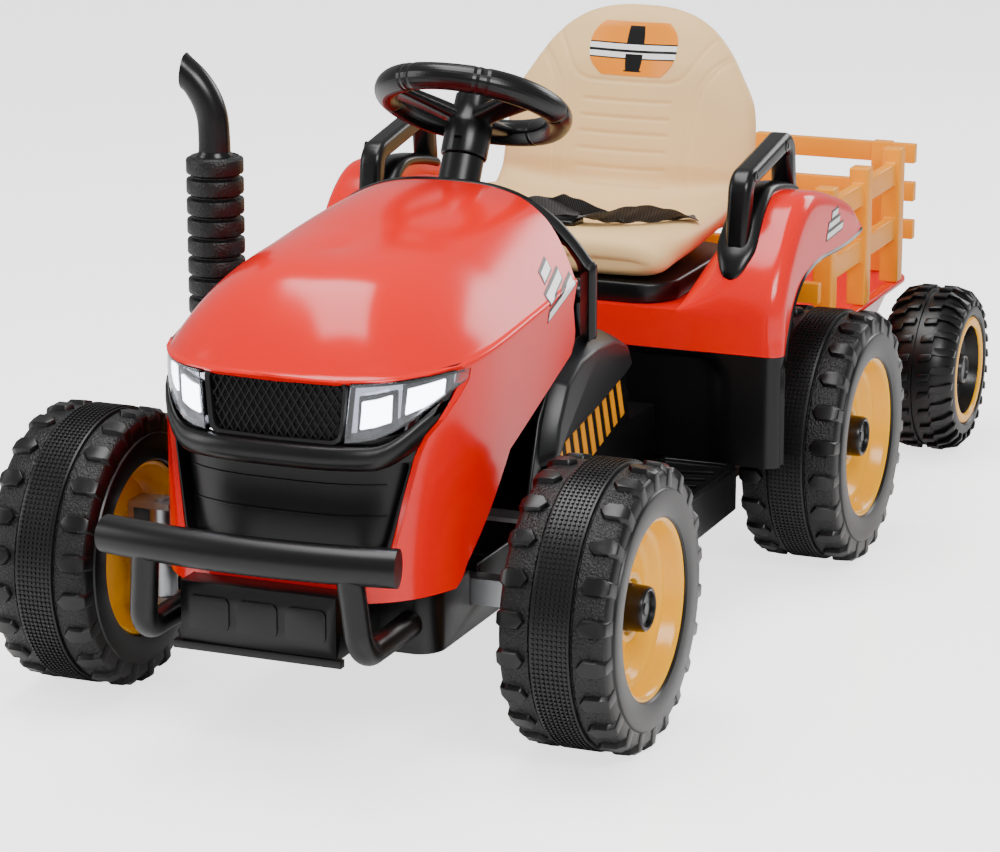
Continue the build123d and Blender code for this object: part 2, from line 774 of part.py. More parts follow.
with BuildPart() as seat:
    with BuildSketch(Plane.XY.offset(tray_top)):
        with Locations((0, (seat_front_y + seat_back_y) / 2)):
            RectangleRounded(2 * seat_half_width, seat_length, 60)
    extrude(amount=cushion_top - tray_top)
    fillet(seat.faces().sort_by(Axis.Z)[-1].edges(), 12)
    with BuildSketch(back_plane.offset(-back_thickness)):
        with BuildLine():
            crown = seat_half_width * 0.9
            arc = ThreePointArc((crown, back_length - 70), (0, back_length), (-crown, back_length - 70))
            Polyline(arc @ 1, (-seat_half_width, 60), (-seat_half_width + 10, 0),
                     (seat_half_width - 10, 0), (seat_half_width, 60), arc @ 0)
        make_face()
    extrude(amount=back_thickness)
save(seat, "seat")

belt_width = 25.0
belt_thickness = 2.0
buckle_y = seat_front_y + 45

with BuildPart() as lap_belt:
    for side in (-1, 1):
        start = (side * (seat_half_width - 22), seat_back_y - 70)
        strap = outline(
            Plane.XY.offset(cushion_top + seam),
            (side * 24, buckle_y - belt_width / 2), (side * 24, buckle_y + belt_width / 2),
            (start[0] - side * 8, start[1] + 8), (start[0] + side * 8, start[1] - 8),
        )
        extrude(strap, amount=belt_thickness)
save(lap_belt, "lap_belt")

with BuildPart() as belt_buckle:
    with BuildSketch(Plane.XY.offset(cushion_top + seam)):
        with Locations((0, buckle_y)):
            RectangleRounded(47, 34, 6)
    extrude(amount=12)
    fillet(belt_buckle.faces().sort_by(Axis.Z)[-1].edges(), 2)
save(belt_buckle, "belt_buckle")

armrest_x = 200.0
rest_line = [
    (-146, fender_top - 69), (-104, fender_top - 18.5), (-51, fender_top + 0.5), (29, fender_top - 18.5)
]
rest_top = 433.0


def make_armrest(side):
    path = [(-128, fender_top - 60), (-118, rest_top - 22), (12, rest_top), (21, fender_top - 26)]
    with BuildPart() as armrest:
        with BuildLine(side_plane(side * armrest_x)) as line:
            FilletPolyline(*from_rear_axle(path), radius=16)
        with BuildSketch(Plane(line.line @ 0, x_dir=(1, 0, 0), z_dir=line.line % 0)):
            RectangleRounded(24, 20, 7)
        sweep(path=line.line)
        foot = from_rear_axle([(y, z + 6) for y, z in rest_line]) + from_rear_axle([(60, 200), (-170, 200)])
        extrude(outline(side_plane(side * armrest_x - 20), *foot), amount=40, mode=Mode.SUBTRACT)
    return armrest


save(make_armrest(1), "armrest_left")
save(make_armrest(-1), "armrest_right")

with BuildPart() as armrest_bases:
    lower = from_rear_axle(rest_line)
    upper = [(y, z + 6) for y, z in lower[::-1]]
    extrude(outline(side_plane(armrest_x - 14), *lower, *upper), amount=28)
    mirror(about=Plane.YZ)
save(armrest_bases, "armrest_bases")

# ---------------------------------------------------------------- drive and battery

with BuildPart() as rear_axle:
    reach = rear_track / 2 + 0.6 * wheel_half
    with BuildSketch(side_plane(-reach)):
        with Locations((rear_axle_y, wheel_radius)):
            Circle(axle_radius)
    extrude(amount=2 * reach)
save(rear_axle, "rear_axle")

with BuildPart() as gear_motors:
    gearbox_x = tray_half_width - 38
    with BuildSketch(side_plane(gearbox_x)):
        with Locations((rear_axle_y, wheel_radius)):
            Circle(32)
        with Locations((rear_axle_y + 38, wheel_radius + 14)):
            Circle(24)
        with Locations((rear_axle_y, wheel_radius)):
            Circle(axle_radius + 1, mode=Mode.SUBTRACT)
    extrude(amount=32)
    with BuildSketch(side_plane(gearbox_x - 58)):
        with Locations((rear_axle_y + 38, wheel_radius + 14)):
            Circle(18)
    extrude(amount=58)
    mirror(about=Plane.YZ)
save(gear_motors, "gear_motors")

with BuildPart() as battery:
    box_between(-75, 75, body_front_y + 20, body_front_y + 85, floor_height + 4, floor_height + 98)
    box_between(-60, -48, body_front_y + 46, body_front_y + 59, floor_height + 97, floor_height + 104)
    box_between(48, 60, body_front_y + 46, body_front_y + 59, floor_height + 97, floor_height + 104)
save(battery, "battery")

pedal_x = -(tunnel_half + board_half) / 2
pedal_y = board_front + 42
pedal_hinge_z = footboard_height + 8
pedal_slope = 25.0

with BuildPart() as accelerator_pedal:
    tilted = (0, sin(radians(pedal_slope)), cos(radians(pedal_slope)))
    slope = Plane(origin=(pedal_x, pedal_y, pedal_hinge_z), x_dir=(1, 0, 0), z_dir=tilted)
    with BuildSketch(slope):
        with Locations((0, -32)):
            RectangleRounded(46, 62, 6)
    extrude(amount=5)
    with BuildSketch(side_plane(pedal_x - 28)):
        with Locations((pedal_y, pedal_hinge_z)):
            Circle(5)
    extrude(amount=56)
save(accelerator_pedal, "accelerator_pedal")

lever_y = board_front + 120
lever_z = footboard_height + 136

with BuildPart() as gear_lever:
    with BuildSketch(side_plane(tunnel_half - 42)):
        with Locations((lever_y, lever_z + 6)):
            Circle(5)
    extrude(amount=24)
    with Locations((tunnel_half - 30, lever_y, lever_z + 34)):
        Cylinder(4, 56)
    with Locations((tunnel_half - 30, lever_y, lever_z + 66)):
        Sphere(12)
save(gear_lever, "gear_lever")

# ---------------------------------------------------------------- hitch and trailer

clevis_gap = 12.0

with BuildPart() as hitch_bracket:
    for z in (drawbar_height - clevis_gap / 2 - 4, drawbar_height + clevis_gap / 2):
        box_between(-26, 26, body_back_y, hitch_y + 12, z, z + 4)
    box_between(-26, 26, body_back_y, body_back_y + 5,
                drawbar_height - clevis_gap / 2 - 4, drawbar_height + clevis_gap / 2 + 4)
    with Locations((0, hitch_y, drawbar_height)):
        Cylinder(pin_radius + running_fit, 40, mode=Mode.SUBTRACT)
save(hitch_bracket, "hitch_bracket")

with BuildPart() as hitch_pin:
    with Locations((0, hitch_y, drawbar_height + 3)):
        Cylinder(pin_radius, 42)
    with Locations((0, hitch_y, drawbar_height + clevis_gap / 2 + 4 + seam + 4)):
        Cylinder(pin_radius + 6, 8)
save(hitch_pin, "hitch_pin")

bed_middle_y = trailer_axle_y + rear_overhang - tub_length / 2

with BuildPart() as trailer_frame:
    box_between(-12, 12, hitch_y + 22, trailer_axle_y + 60, drawbar_height - 4, tub_floor - seam)
    with BuildSketch(Plane.XY.offset(drawbar_height - 4)):
        with Locations((0, hitch_y + 8)):
            SlotOverall(50, 26, rotation=90)
        with Locations((0, hitch_y)):
            Circle(pin_radius + 0.3, mode=Mode.SUBTRACT)
    extrude(amount=8)
    box_between(-90, 90, trailer_axle_y - 12, trailer_axle_y + 12, trailer_wheel_radius - 9, tub_floor - seam)
    with BuildSketch(side_plane(-(trailer_track / 2 + 0.45 * trailer_half))):
        with Locations((trailer_axle_y, trailer_wheel_radius)):
            Circle(axle_radius)
    extrude(amount=trailer_track + 0.9 * trailer_half)
save(trailer_frame, "trailer_frame")


def tub_outline(height, inset):
    """The tub narrows towards its floor."""
    lean = 22.0 * (tub_height - height) / (tub_height - tub_floor) + inset
    with BuildSketch(Plane.XY.offset(height)) as ring:
        with Locations((0, bed_middle_y)):
            RectangleRounded(2 * (tub_half_width - lean), tub_length - 2 * (tub_rim + lean), 34 - inset)
    return ring.sketch


with BuildPart() as trailer_tub:
    loft([tub_outline(tub_floor, 0), tub_outline(tub_height, 0)])
    with BuildSketch(Plane.XY.offset(tub_height - 7)):
        with Locations((0, bed_middle_y)):
            RectangleRounded(2 * (tub_half_width + tub_rim), tub_length, 34 + tub_rim)
    extrude(amount=7)
    loft([tub_outline(tub_floor + wall, wall), tub_outline(tub_height, wall)], mode=Mode.SUBTRACT)
save(trailer_tub, "trailer_tub")

post_x = tub_half_width + 1.0
post_pitch = 129.0
end_fence_reach = tub_length / 2 - tub_rim + 2
post_top = tub_height + post_height


def make_side_fence(side):
    with BuildPart() as fence:
        for step in (-1, 0, 1):
            y = bed_middle_y + step * post_pitch
            box_between(side * post_x - post_size / 2, side * post_x + post_size / 2,
                        y - post_size / 2, y + post_size / 2, tub_height, post_top)
        for z in (post_top - 17 - rail_height, post_top - 81 - rail_height):
            box_between(side * post_x - rail_depth / 2, side * post_x + rail_depth / 2,
                        bed_middle_y - post_pitch, bed_middle_y + post_pitch, z, z + rail_height)
    return fence


def make_end_fence(y):
    half = post_x + post_size / 2
    with BuildPart() as fence:
        for x in (-half + 40, 0, half - 40):
            box_between(x - post_size / 2, x + post_size / 2, y - 9, y + 9, tub_height, post_top - 4)
        for step in range(3):
            z = post_top - 27 - step * 45
            box_between(-half, half, y - rail_depth / 2, y + rail_depth / 2, z, z + 22)
    return fence


save(make_side_fence(1), "fence_left")
save(make_side_fence(-1), "fence_right")
save(make_end_fence(bed_middle_y - end_fence_reach), "fence_front")
save(make_end_fence(bed_middle_y + end_fence_reach), "fence_rear")
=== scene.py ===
# %% [markdown]
# # A ride-on toy tractor with its trailer
# The frame holds the working model: every part at its true size and place. This lesson
# gives it its looks: moulded plastic shells, blow-moulded tyres, lit lamps and a seat.

# %% Load the frame
import json
from math import atan2, cos, hypot, pi, radians, sin

import bmesh
import bpy
from mathutils import Matrix, Vector


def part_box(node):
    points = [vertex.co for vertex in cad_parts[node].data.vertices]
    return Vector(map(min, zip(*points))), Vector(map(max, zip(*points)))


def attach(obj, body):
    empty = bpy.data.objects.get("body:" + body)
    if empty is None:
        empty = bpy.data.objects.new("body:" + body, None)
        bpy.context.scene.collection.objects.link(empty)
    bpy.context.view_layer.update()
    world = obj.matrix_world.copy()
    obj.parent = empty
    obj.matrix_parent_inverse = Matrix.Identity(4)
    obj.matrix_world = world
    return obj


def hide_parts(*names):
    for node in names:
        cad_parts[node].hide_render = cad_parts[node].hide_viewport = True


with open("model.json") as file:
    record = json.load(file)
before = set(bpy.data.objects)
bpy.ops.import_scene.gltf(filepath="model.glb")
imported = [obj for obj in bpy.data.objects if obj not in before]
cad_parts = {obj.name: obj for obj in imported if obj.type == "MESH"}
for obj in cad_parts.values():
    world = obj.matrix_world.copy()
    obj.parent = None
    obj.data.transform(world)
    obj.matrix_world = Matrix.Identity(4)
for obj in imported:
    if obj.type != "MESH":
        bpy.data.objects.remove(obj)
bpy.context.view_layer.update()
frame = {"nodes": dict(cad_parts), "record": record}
nodes = frame["nodes"]
MM = 0.001

# %% [markdown]
# ## Landmarks
# Everything is placed from the frame: the axles, the hood, the seat and the trailer. The
# tractor faces -Y and its left side is +X.


# %% Landmarks
def middle(node):
    low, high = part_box(node)
    return Vector((low[i] + high[i]) / 2 for i in range(3))


front_axle = middle("front_axle_beam")
rear_axle = middle("rear_axle")
wheel_centre = {
    f"{place}_{hand}": middle(f"{place}_{hand}_tyre")
    for place in ("front", "rear", "trailer")
    for hand in ("left", "right")
}
hood_low, hood_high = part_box("hood_shell")
joints = {joint["name"]: joint for joint in frame["record"]["behaviour"]["joints"]}
print("front axle", [round(v, 3) for v in front_axle], "rear axle", [round(v, 3) for v in rear_axle])

# %% [markdown]
# ## The camera
# It stands to the front left of the tractor, a little above it, with a long lens that
# keeps the wheels round.

# %% Camera
camera_data = bpy.data.cameras.new("camera")
camera = bpy.data.objects.new("camera", camera_data)
bpy.context.scene.collection.objects.link(camera)
camera_data.lens = 131.8
camera_data.sensor_width = 36.0
camera_data.clip_end = 50.0
camera.location = (1.33304, front_axle.y - 2.87531, 1.10819)
camera.rotation_euler = (radians(90 - 14.889), 0.0, radians(22.327))
bpy.context.scene.camera = camera

# %% [markdown]
# ## Studio
# A pale flat floor, two large soft boxes and a low fill. The gloss of the red plastic comes from the soft
# boxes.

# %% Floor and lights
bpy.ops.object.select_all(action="DESELECT")
bpy.ops.mesh.primitive_plane_add(size=14, location=(0, 0, 0))
floor = bpy.context.object
floor.name = "studio_floor"


def soft_box(name, place, aim, size, power):
    data = bpy.data.lights.new(name, "AREA")
    data.shape = "RECTANGLE"
    data.size = size[0]
    data.size_y = size[1]
    data.energy = power
    lamp = bpy.data.objects.new(name, data)
    lamp.location = place
    lamp.rotation_euler = (Vector(aim) - Vector(place)).to_track_quat("-Z", "Y").to_euler()
    bpy.context.scene.collection.objects.link(lamp)
    return lamp


soft_box("key", (1.9, -2.2, 2.3), (0, -0.3, 0.25), (1.5, 1.1), 78)
soft_box("top", (-0.3, -0.3, 2.6), (0, -0.2, 0.3), (2.0, 1.3), 66)
soft_box("left_fill", (-2.4, -1.6, 1.2), (0, -0.2, 0.25), (1.2, 1.5), 26)
soft_box("rim", (1.2, 2.6, 1.6), (0, 0.2, 0.3), (1.8, 1.0), 34)

world = bpy.data.worlds.new("studio")
bpy.context.scene.world = world
world.use_nodes = True
world_sky = world.node_tree.nodes["Background"]
world_sky.inputs["Color"].default_value = (1.0, 1.0, 1.0, 1.0)
# the backdrop itself is bright; what it sheds on the toy is softer, so blacks stay black
seen = world.node_tree.nodes.new("ShaderNodeLightPath")
strength = world.node_tree.nodes.new("ShaderNodeMapRange")
strength.inputs["To Min"].default_value = 0.42
strength.inputs["To Max"].default_value = 3.2
world.node_tree.links.new(seen.outputs["Is Camera Ray"], strength.inputs["Value"])
world.node_tree.links.new(strength.outputs["Result"], world_sky.inputs["Strength"])
print("lights", len(bpy.data.lights))

# %% [markdown]
# ## Materials
# The toy is nearly all moulded plastic. A small helper adds a node with its settings and
# links, and another turns a screen colour into the linear values that the shader wants.


# %% Material helpers
def linear(hex_colour):
    channels = [int(hex_colour[i:i + 2], 16) / 255 for i in (1, 3, 5)]
    bent = [c / 12.92 if c <= 0.04045 else ((c + 0.055) / 1.055) ** 2.4 for c in channels]
    return (*bent, 1.0)


def add_node(material, kind, settings=None, links=None):
    node = material.node_tree.nodes.new(kind)
    for key, value in (settings or {}).items():
        if key in node.inputs:
            node.inputs[key].default_value = value
        else:
            setattr(node, key, value)
    for key, source in (links or {}).items():
        material.node_tree.links.new(source, node.inputs[key])
    return node


def start_material(name, settings):
    """A material with its shader; returns both."""
    material = bpy.data.materials.new(name)
    material.use_nodes = True
    shader = material.node_tree.nodes["Principled BSDF"]
    for key, value in settings.items():
        shader.inputs[key].default_value = value
    return material, shader


def link(material, source, target):
    material.node_tree.links.new(source, target)


# %% [markdown]
# ### Moulded plastics
# Glossy polypropylene takes its mirror from a polished mould, with a slow waviness where
# the thick shell shrank. Satin parts come from an etched mould: a fine grain of about
# 0.8 mm, drawn a little coarse so that it shows.


# %% Moulded plastics
def moulded(name, hex_colour, roughness, grain_mm, grain_depth_mm, coat=0.0, spread=0.05, shine=0.4):
    """Plastic straight from the mould; spread is how much its colour varies."""
    colour = linear(hex_colour)
    material, shader = start_material(
        name,
        {
            "Roughness": roughness, "IOR": 1.49, "Coat Weight": coat, "Coat Roughness": 0.04,
            "Specular IOR Level": shine,
        },
    )
    place = add_node(material, "ShaderNodeTexCoord").outputs["Object"]
    slow = add_node(
        material, "ShaderNodeTexNoise", {"Scale": 9.0, "Detail": 3.0}, {"Vector": place}
    ).outputs["Fac"]
    tint = add_node(material, "ShaderNodeValToRGB", links={"Fac": slow})
    tint.color_ramp.elements[0].position = 0.3
    tint.color_ramp.elements[1].position = 0.7
    tint.color_ramp.elements[0].color = tuple(c * (1 - spread) for c in colour[:3]) + (1.0,)
    tint.color_ramp.elements[1].color = tuple(min(1.0, c * (1 + spread)) for c in colour[:3]) + (1.0,)
    link(material, tint.outputs["Color"], shader.inputs["Base Color"])
    grain = add_node(
        material, "ShaderNodeTexNoise", {"Scale": 1.0 / (grain_mm * MM), "Detail": 2.0}, {"Vector": place}
    ).outputs["Fac"]
    bump = add_node(
        material, "ShaderNodeBump", {"Strength": 1.0, "Distance": grain_depth_mm * MM}, {"Height": grain}
    )
    link(material, bump.outputs["Normal"], shader.inputs["Normal"])
    return material


looks = {}
# polished mould, glossy: the eye sees a soft mirror over a saturated red
looks["red_shell"] = moulded(
    "polypropylene_polished_red", "#E80500", 0.17, 24.0, 0.05, spread=0.02, shine=0.5,
)
# etched mould, satin: highlights spread into a soft grey
looks["black_body"] = moulded("polypropylene_satin_black", "#070708", 0.33, 1.2, 0.02, spread=0.1)
looks["black_grip"] = moulded("abs_satin_black", "#09090A", 0.27, 1.4, 0.02, spread=0.1)
looks["mesh_black"] = moulded("abs_deep_black", "#08080A", 0.55, 1.2, 0.03)
looks["tyre_black"] = moulded(
    "blow_moulded_polyethylene_black", "#060607", 0.34, 1.5, 0.05, spread=0.12, shine=0.45,
)
looks["rim_yellow"] = moulded(
    "polypropylene_polished_yellow", "#FFB400", 0.2, 20.0, 0.04, spread=0.02, shine=0.4,
)
looks["fence_yellow"] = moulded(
    "polyethylene_satin_orange_yellow", "#F79A00", 0.36, 1.6, 0.04, spread=0.05, shine=0.3,
)
looks["seat_beige"] = moulded(
    "polyethylene_soft_satin_beige", "#EDC489", 0.5, 1.2, 0.03, spread=0.02, shine=0.25,
)
looks["horn_orange"] = moulded("abs_polished_orange", "#F39A0A", 0.25, 16.0, 0.03)
looks["battery_case"] = moulded("abs_satin_charcoal", "#202226", 0.5, 1.5, 0.04)
looks["belt_webbing"] = moulded("nylon_webbing_black", "#16110F", 0.7, 1.0, 0.25, spread=0.25)
print("plastics", len(looks))

# %% [markdown]
# ### Steel, chrome and lamp parts
# Drawn steel is grey with fine lengthwise marks, so its roughness varies. The lamp bowls are
# metallised plastic, and the lens is clear polycarbonate.

# %% Metal, glass and light
steel, steel_shader = start_material("drawn_steel", {"Metallic": 1.0, "Roughness": 0.35})
steel_shader.inputs["Base Color"].default_value = linear("#A9ABAE")
steel_place = add_node(steel, "ShaderNodeTexCoord").outputs["Object"]
steel_marks = add_node(
    steel, "ShaderNodeTexNoise", {"Scale": 400.0, "Detail": 2.0}, {"Vector": steel_place}
)
steel_range = add_node(
    steel, "ShaderNodeMapRange", {"To Min": 0.25, "To Max": 0.45}, {"Value": steel_marks.outputs["Fac"]}
)
link(steel, steel_range.outputs["Result"], steel_shader.inputs["Roughness"])
looks["steel"] = steel

chrome, chrome_shader = start_material("metallised_plastic", {"Metallic": 1.0, "Roughness": 0.12})
chrome_shader.inputs["Base Color"].default_value = linear("#C9CCD2")
looks["lamp_housing"] = chrome

lens, lens_shader = start_material(
    "clear_polycarbonate", {"Roughness": 0.03, "IOR": 1.58, "Transmission Weight": 1.0}
)
lens_shader.inputs["Base Color"].default_value = linear("#F4F7FF")
looks["lamp_lens"] = lens

light, light_shader = start_material("lit_lamp_block", {"Roughness": 0.3, "Emission Strength": 14.0})
light_shader.inputs["Base Color"].default_value = linear("#FFFFFF")
light_shader.inputs["Emission Color"].default_value = linear("#F6FAFF")
looks["lamp_light"] = light

floor_look, floor_shader = start_material("studio_floor_lacquer", {"Roughness": 0.16, "IOR": 1.4})
floor_shader.inputs["Emission Color"].default_value = linear("#FFFFFF")
floor_seen = add_node(floor_look, "ShaderNodeLightPath")
floor_glow = add_node(
    floor_look, "ShaderNodeMapRange", {"To Min": 0.1, "To Max": 1.9},
    {"Value": floor_seen.outputs["Is Camera Ray"]},
)
link(floor_look, floor_glow.outputs["Result"], floor_shader.inputs["Emission Strength"])
floor_shader.inputs["Base Color"].default_value = linear("#FFFFFF")
floor.data.materials.append(floor_look)
print("looks", sorted(looks))

# %% [markdown]
# ## Finishes on the working parts
# Each part of the frame takes the look of its own material slot.

# %% Finish the frame's own parts
slot_of = {part["node"]: part["material_slot"] for part in frame["record"]["subparts"]}
for name, node in nodes.items():
    node.data.materials.clear()
    node.data.materials.append(looks[slot_of[name]])
print("finished", len(slot_of))

# %% [markdown]
# ## Drawing helpers
# Round things start as a line that is drawn by extruding one vertex from point to point,
# as with a pencil, and are then spun about their axle. Sharp edges stay sharp and the rest
# is shaded smooth.


# %% Drawing helpers
def deselect():
    if bpy.context.object and bpy.context.object.mode != "OBJECT":
        bpy.ops.object.mode_set(mode="OBJECT")
    bpy.ops.object.select_all(action="DESELECT")


def open_edit(piece):
    """Edit mode on one piece, with nothing selected in it."""
    deselect()
    piece.select_set(True)
    bpy.context.view_layer.objects.active = piece
    bpy.ops.object.mode_set(mode="EDIT")
    bpy.ops.mesh.select_all(action="DESELECT")


def pick(piece, wanted, kind="faces"):
    """Selects the faces, edges or verts of the piece in edit mode that pass a test."""
    mesh = bmesh.from_edit_mesh(piece.data)
    modes = {"faces": {"FACE"}, "edges": {"EDGE"}, "verts": {"VERT"}}
    mesh.select_mode = modes[kind]
    bpy.ops.mesh.select_mode(type={"faces": "FACE", "edges": "EDGE", "verts": "VERT"}[kind])
    bpy.ops.mesh.select_all(action="DESELECT")
    mesh = bmesh.from_edit_mesh(piece.data)
    for element in getattr(mesh, kind):
        if wanted(element):
            element.select_set(True)
    mesh.select_flush_mode()
    bmesh.update_edit_mesh(piece.data)


def draw_line(name, points, closed=False):
    """A chain of edges through points in millimetres, drawn by extruding one vertex."""
    deselect()
    path = [Vector(p) * MM for p in points]
    bpy.ops.mesh.primitive_plane_add(size=0.01, location=path[0])
    line = bpy.context.object
    line.name = name
    line.data.name = name
    bpy.ops.object.transform_apply(location=True, rotation=True, scale=True)
    bpy.ops.object.mode_set(mode="EDIT")
    bpy.ops.mesh.select_mode(type="VERT")
    bpy.ops.mesh.select_all(action="SELECT")
    bpy.ops.mesh.merge(type="CENTER")
    for start, end in zip(path, path[1:]):
        bpy.ops.mesh.extrude_region_move(TRANSFORM_OT_translate={"value": end - start})
    if closed:
        bpy.ops.mesh.select_all(action="SELECT")
        bpy.ops.mesh.edge_face_add()
    return line


def close_up(piece, smooth_angle=35):
    """Merges doubles, points the normals out, and shades smooth up to an angle."""
    open_edit(piece)
    bpy.ops.mesh.select_all(action="SELECT")
    bpy.ops.mesh.remove_doubles(threshold=0.02 * MM)
    bpy.ops.mesh.normals_make_consistent(inside=False)
    bpy.ops.object.mode_set(mode="OBJECT")
    bpy.ops.object.shade_smooth_by_angle(angle=radians(smooth_angle))
    return piece


def lathe(name, outline, steps, centre=(0, 0, 0), axis=(1, 0, 0)):
    """Spins an outline about an axis: each point is (along the axis, radius)."""
    axis = Vector(axis).normalized()
    side = axis.orthogonal().normalized() if abs(axis.x) < 0.99 else Vector((0, 0, 1))
    points = [Vector(centre) / MM + axis * along + side * radius for along, radius in outline]
    piece = draw_line(name, points)
    bpy.ops.mesh.select_all(action="SELECT")
    bpy.ops.mesh.spin(steps=steps, angle=2 * pi, center=centre, axis=axis)
    return close_up(piece)


def paint(piece, *names):
    piece.data.materials.clear()
    for name in names:
        piece.data.materials.append(looks[name])


def place(piece, body, slot, *replaced):
    """Says which body the piece moves with and the parts it stands for; the slot is not used."""
    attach(piece, body)
    if replaced:
        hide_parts(*replaced)


def copy_of(piece, name, matrix):
    """A copy with its own mesh, moved there in its mesh."""
    twin = bpy.data.objects.new(name, piece.data.copy())
    twin.data.name = name
    twin.data.transform(matrix)
    if matrix.determinant() < 0:
        twin.data.flip_normals()
    bpy.context.scene.collection.objects.link(twin)
    return twin


print("helpers ready")

# %% [markdown]
# ## Tyres
# The tyres are hollow blow-moulded plastic rings. A grip band with rows of small studs
# runs round the middle, and 22 hexagonal lugs on each side wrap over the shoulder. One
# tyre is spun at the origin, its studs are extruded from the band, one lug is shaped and
# repeated round it, and every wheel gets a copy.

# %% Tyre materials
looks["tyre_pebbled"] = moulded("blow_moulded_polyethylene_pebbled", "#0B0B0C", 0.4, 2.2, 1.6, spread=0.3)
looks["tyre_studs"] = moulded("blow_moulded_polyethylene_grip", "#121213", 0.36, 1.2, 0.1, spread=0.15)

# %% Tyre
LUGS = 22
STEPS_PER_LUG = 16
STUD_ROWS = 8
BAND_HALF = 18.0


def tyre_outline(radius, half, rim_radius, ring_radius):
    """Across the tread from the middle of the bead to the other bead, in millimetres."""
    half_side = [
        (half - 12.0, rim_radius - 1.5),
        (half - 4.0, rim_radius - 1.5),
        (half - 2.2, rim_radius),
        (half - 1.2, rim_radius + 4.0),
        (half + 0.1, ring_radius - 2.0),
        (half - 0.6, ring_radius),
        (half - 2.2, ring_radius + 1.0),
        (half - 3.0, radius - 12.5),
        (half - 5.5, radius - 8.0),
        (half - 10.0, radius - 5.4),
        (BAND_HALF + 2.6, radius - 4.6),
        (BAND_HALF + 1.4, radius - 6.0),
        (BAND_HALF + 0.5, radius - 6.0),
        (BAND_HALF, radius - 2.6),
    ]
    cells = 2 * STUD_ROWS + 1
    band = [(BAND_HALF - 2 * BAND_HALF * i / cells, radius - 2.2) for i in range(1, cells)]
    mirrored = [(-along, r) for along, r in reversed(half_side)]
    inner = [(-(half - 12.0), rim_radius + 10.0), (half - 12.0, rim_radius + 10.0), half_side[0]]
    return half_side + band + mirrored + inner


def make_tyre(name, radius, half, rim_radius, ring_radius, lug_half=9.6):
    tyre = lathe(name, tyre_outline(radius, half, rim_radius, ring_radius), LUGS * STEPS_PER_LUG)
    for material in ("tyre_black", "tyre_pebbled", "tyre_studs"):
        tyre.data.materials.append(looks[material])
    pitch = 2 * pi / (LUGS * STEPS_PER_LUG)
    cell = 2 * BAND_HALF / (2 * STUD_ROWS + 1)
    floor_radius = (radius - 2.9) * MM

    def is_stud(face):
        spot = face.calc_center_median()
        if abs(spot.x) > (BAND_HALF - 0.5) * MM or hypot(spot.y, spot.z) < floor_radius:
            return False
        column = int((spot.x / MM + BAND_HALF) / cell)
        row = int((atan2(spot.y, spot.z) % (2 * pi)) / pitch)
        return column % 2 == 1 and row % 2 == 1

    for face in tyre.data.polygons:
        spot = face.center
        around = hypot(spot.y, spot.z) / MM
        if abs(spot.x) < (BAND_HALF + 0.4) * MM and around > radius - 7:
            face.material_index = 2
        elif around > radius - 9 and abs(spot.x) < (half - 7) * MM:
            face.material_index = 1
    open_edit(tyre)
    pick(tyre, is_stud)
    bpy.ops.mesh.extrude_faces_move(TRANSFORM_OT_shrink_fatten={"value": 1.5 * MM})
    deselect()
    add_lugs(tyre, radius, half, ring_radius, lug_half)
    return tyre


def add_lugs(tyre, radius, half, ring_radius, lug_half):
    """Shapes one lug on top of the tread and repeats it round both sides."""
    near = BAND_HALF + 4.0
    outline = [
        (near, 0), (near + 6.5, -lug_half), (half - 8.0, -lug_half), (half - 1.6, -lug_half * 0.72),
        (half - 1.6, lug_half * 0.72), (half - 8.0, lug_half), (near + 6.5, lug_half),
    ]
    lug = draw_line(f"{tyre.name}_lug", [(x, y, radius - 9.0) for x, y in outline], closed=True)
    bpy.ops.mesh.extrude_region_move(TRANSFORM_OT_translate={"value": (0, 0, 8.6 * MM)})
    bpy.ops.transform.resize(value=(0.86, 0.74, 1.0))
    pick(lug, lambda v: v.co.x > (half - 6.5) * MM and v.co.z > (radius - 5) * MM, "verts")
    bpy.ops.transform.translate(value=(1.2 * MM, 0, -5.2 * MM))
    pick(lug, lambda v: v.co.x > (half - 3.0) * MM and v.co.z < (radius - 8) * MM, "verts")
    bpy.ops.transform.translate(value=(0, 0, (ring_radius + 1.5 - radius + 9.0) * MM))
    bpy.ops.mesh.select_all(action="SELECT")
    bpy.ops.mesh.normals_make_consistent(inside=False)
    bpy.ops.mesh.bevel(offset=1.3 * MM, segments=2, affect="EDGES")
    deselect()
    rings = bmesh.new()
    rings.from_mesh(tyre.data)
    for turn in range(LUGS):
        for flip in (0, pi):
            single = lug.data.copy()
            single.transform(Matrix.Rotation(2 * pi * turn / LUGS, 4, "X") @ Matrix.Rotation(flip, 4, "Z"))
            rings.from_mesh(single)
            bpy.data.meshes.remove(single)
    rings.to_mesh(tyre.data)
    rings.free()
    bpy.data.objects.remove(lug, do_unlink=True)
    deselect()
    tyre.select_set(True)
    bpy.context.view_layer.objects.active = tyre
    bpy.ops.object.shade_smooth_by_angle(angle=radians(32))


front_low, front_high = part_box("front_left_tyre")
tyre_radius = (front_high[2] - front_low[2]) / 2 / MM
tyre_half = (front_high[0] - front_low[0]) / 2 / MM
tractor_tyre = make_tyre("tractor_tyre", tyre_radius, tyre_half - 0.3, 83.0, 107.0)
print("tyre faces", len(tractor_tyre.data.polygons), "radius", round(tyre_radius, 1))

# %% [markdown]
# ### Rims
# The rims are glossy yellow bowls with a rounded lip, a stepped wall and a flat bottom with
# a ring of screw recesses. An outline is spun, and the recesses are inset and pushed in.

# %% Rim
SCREWS = 8


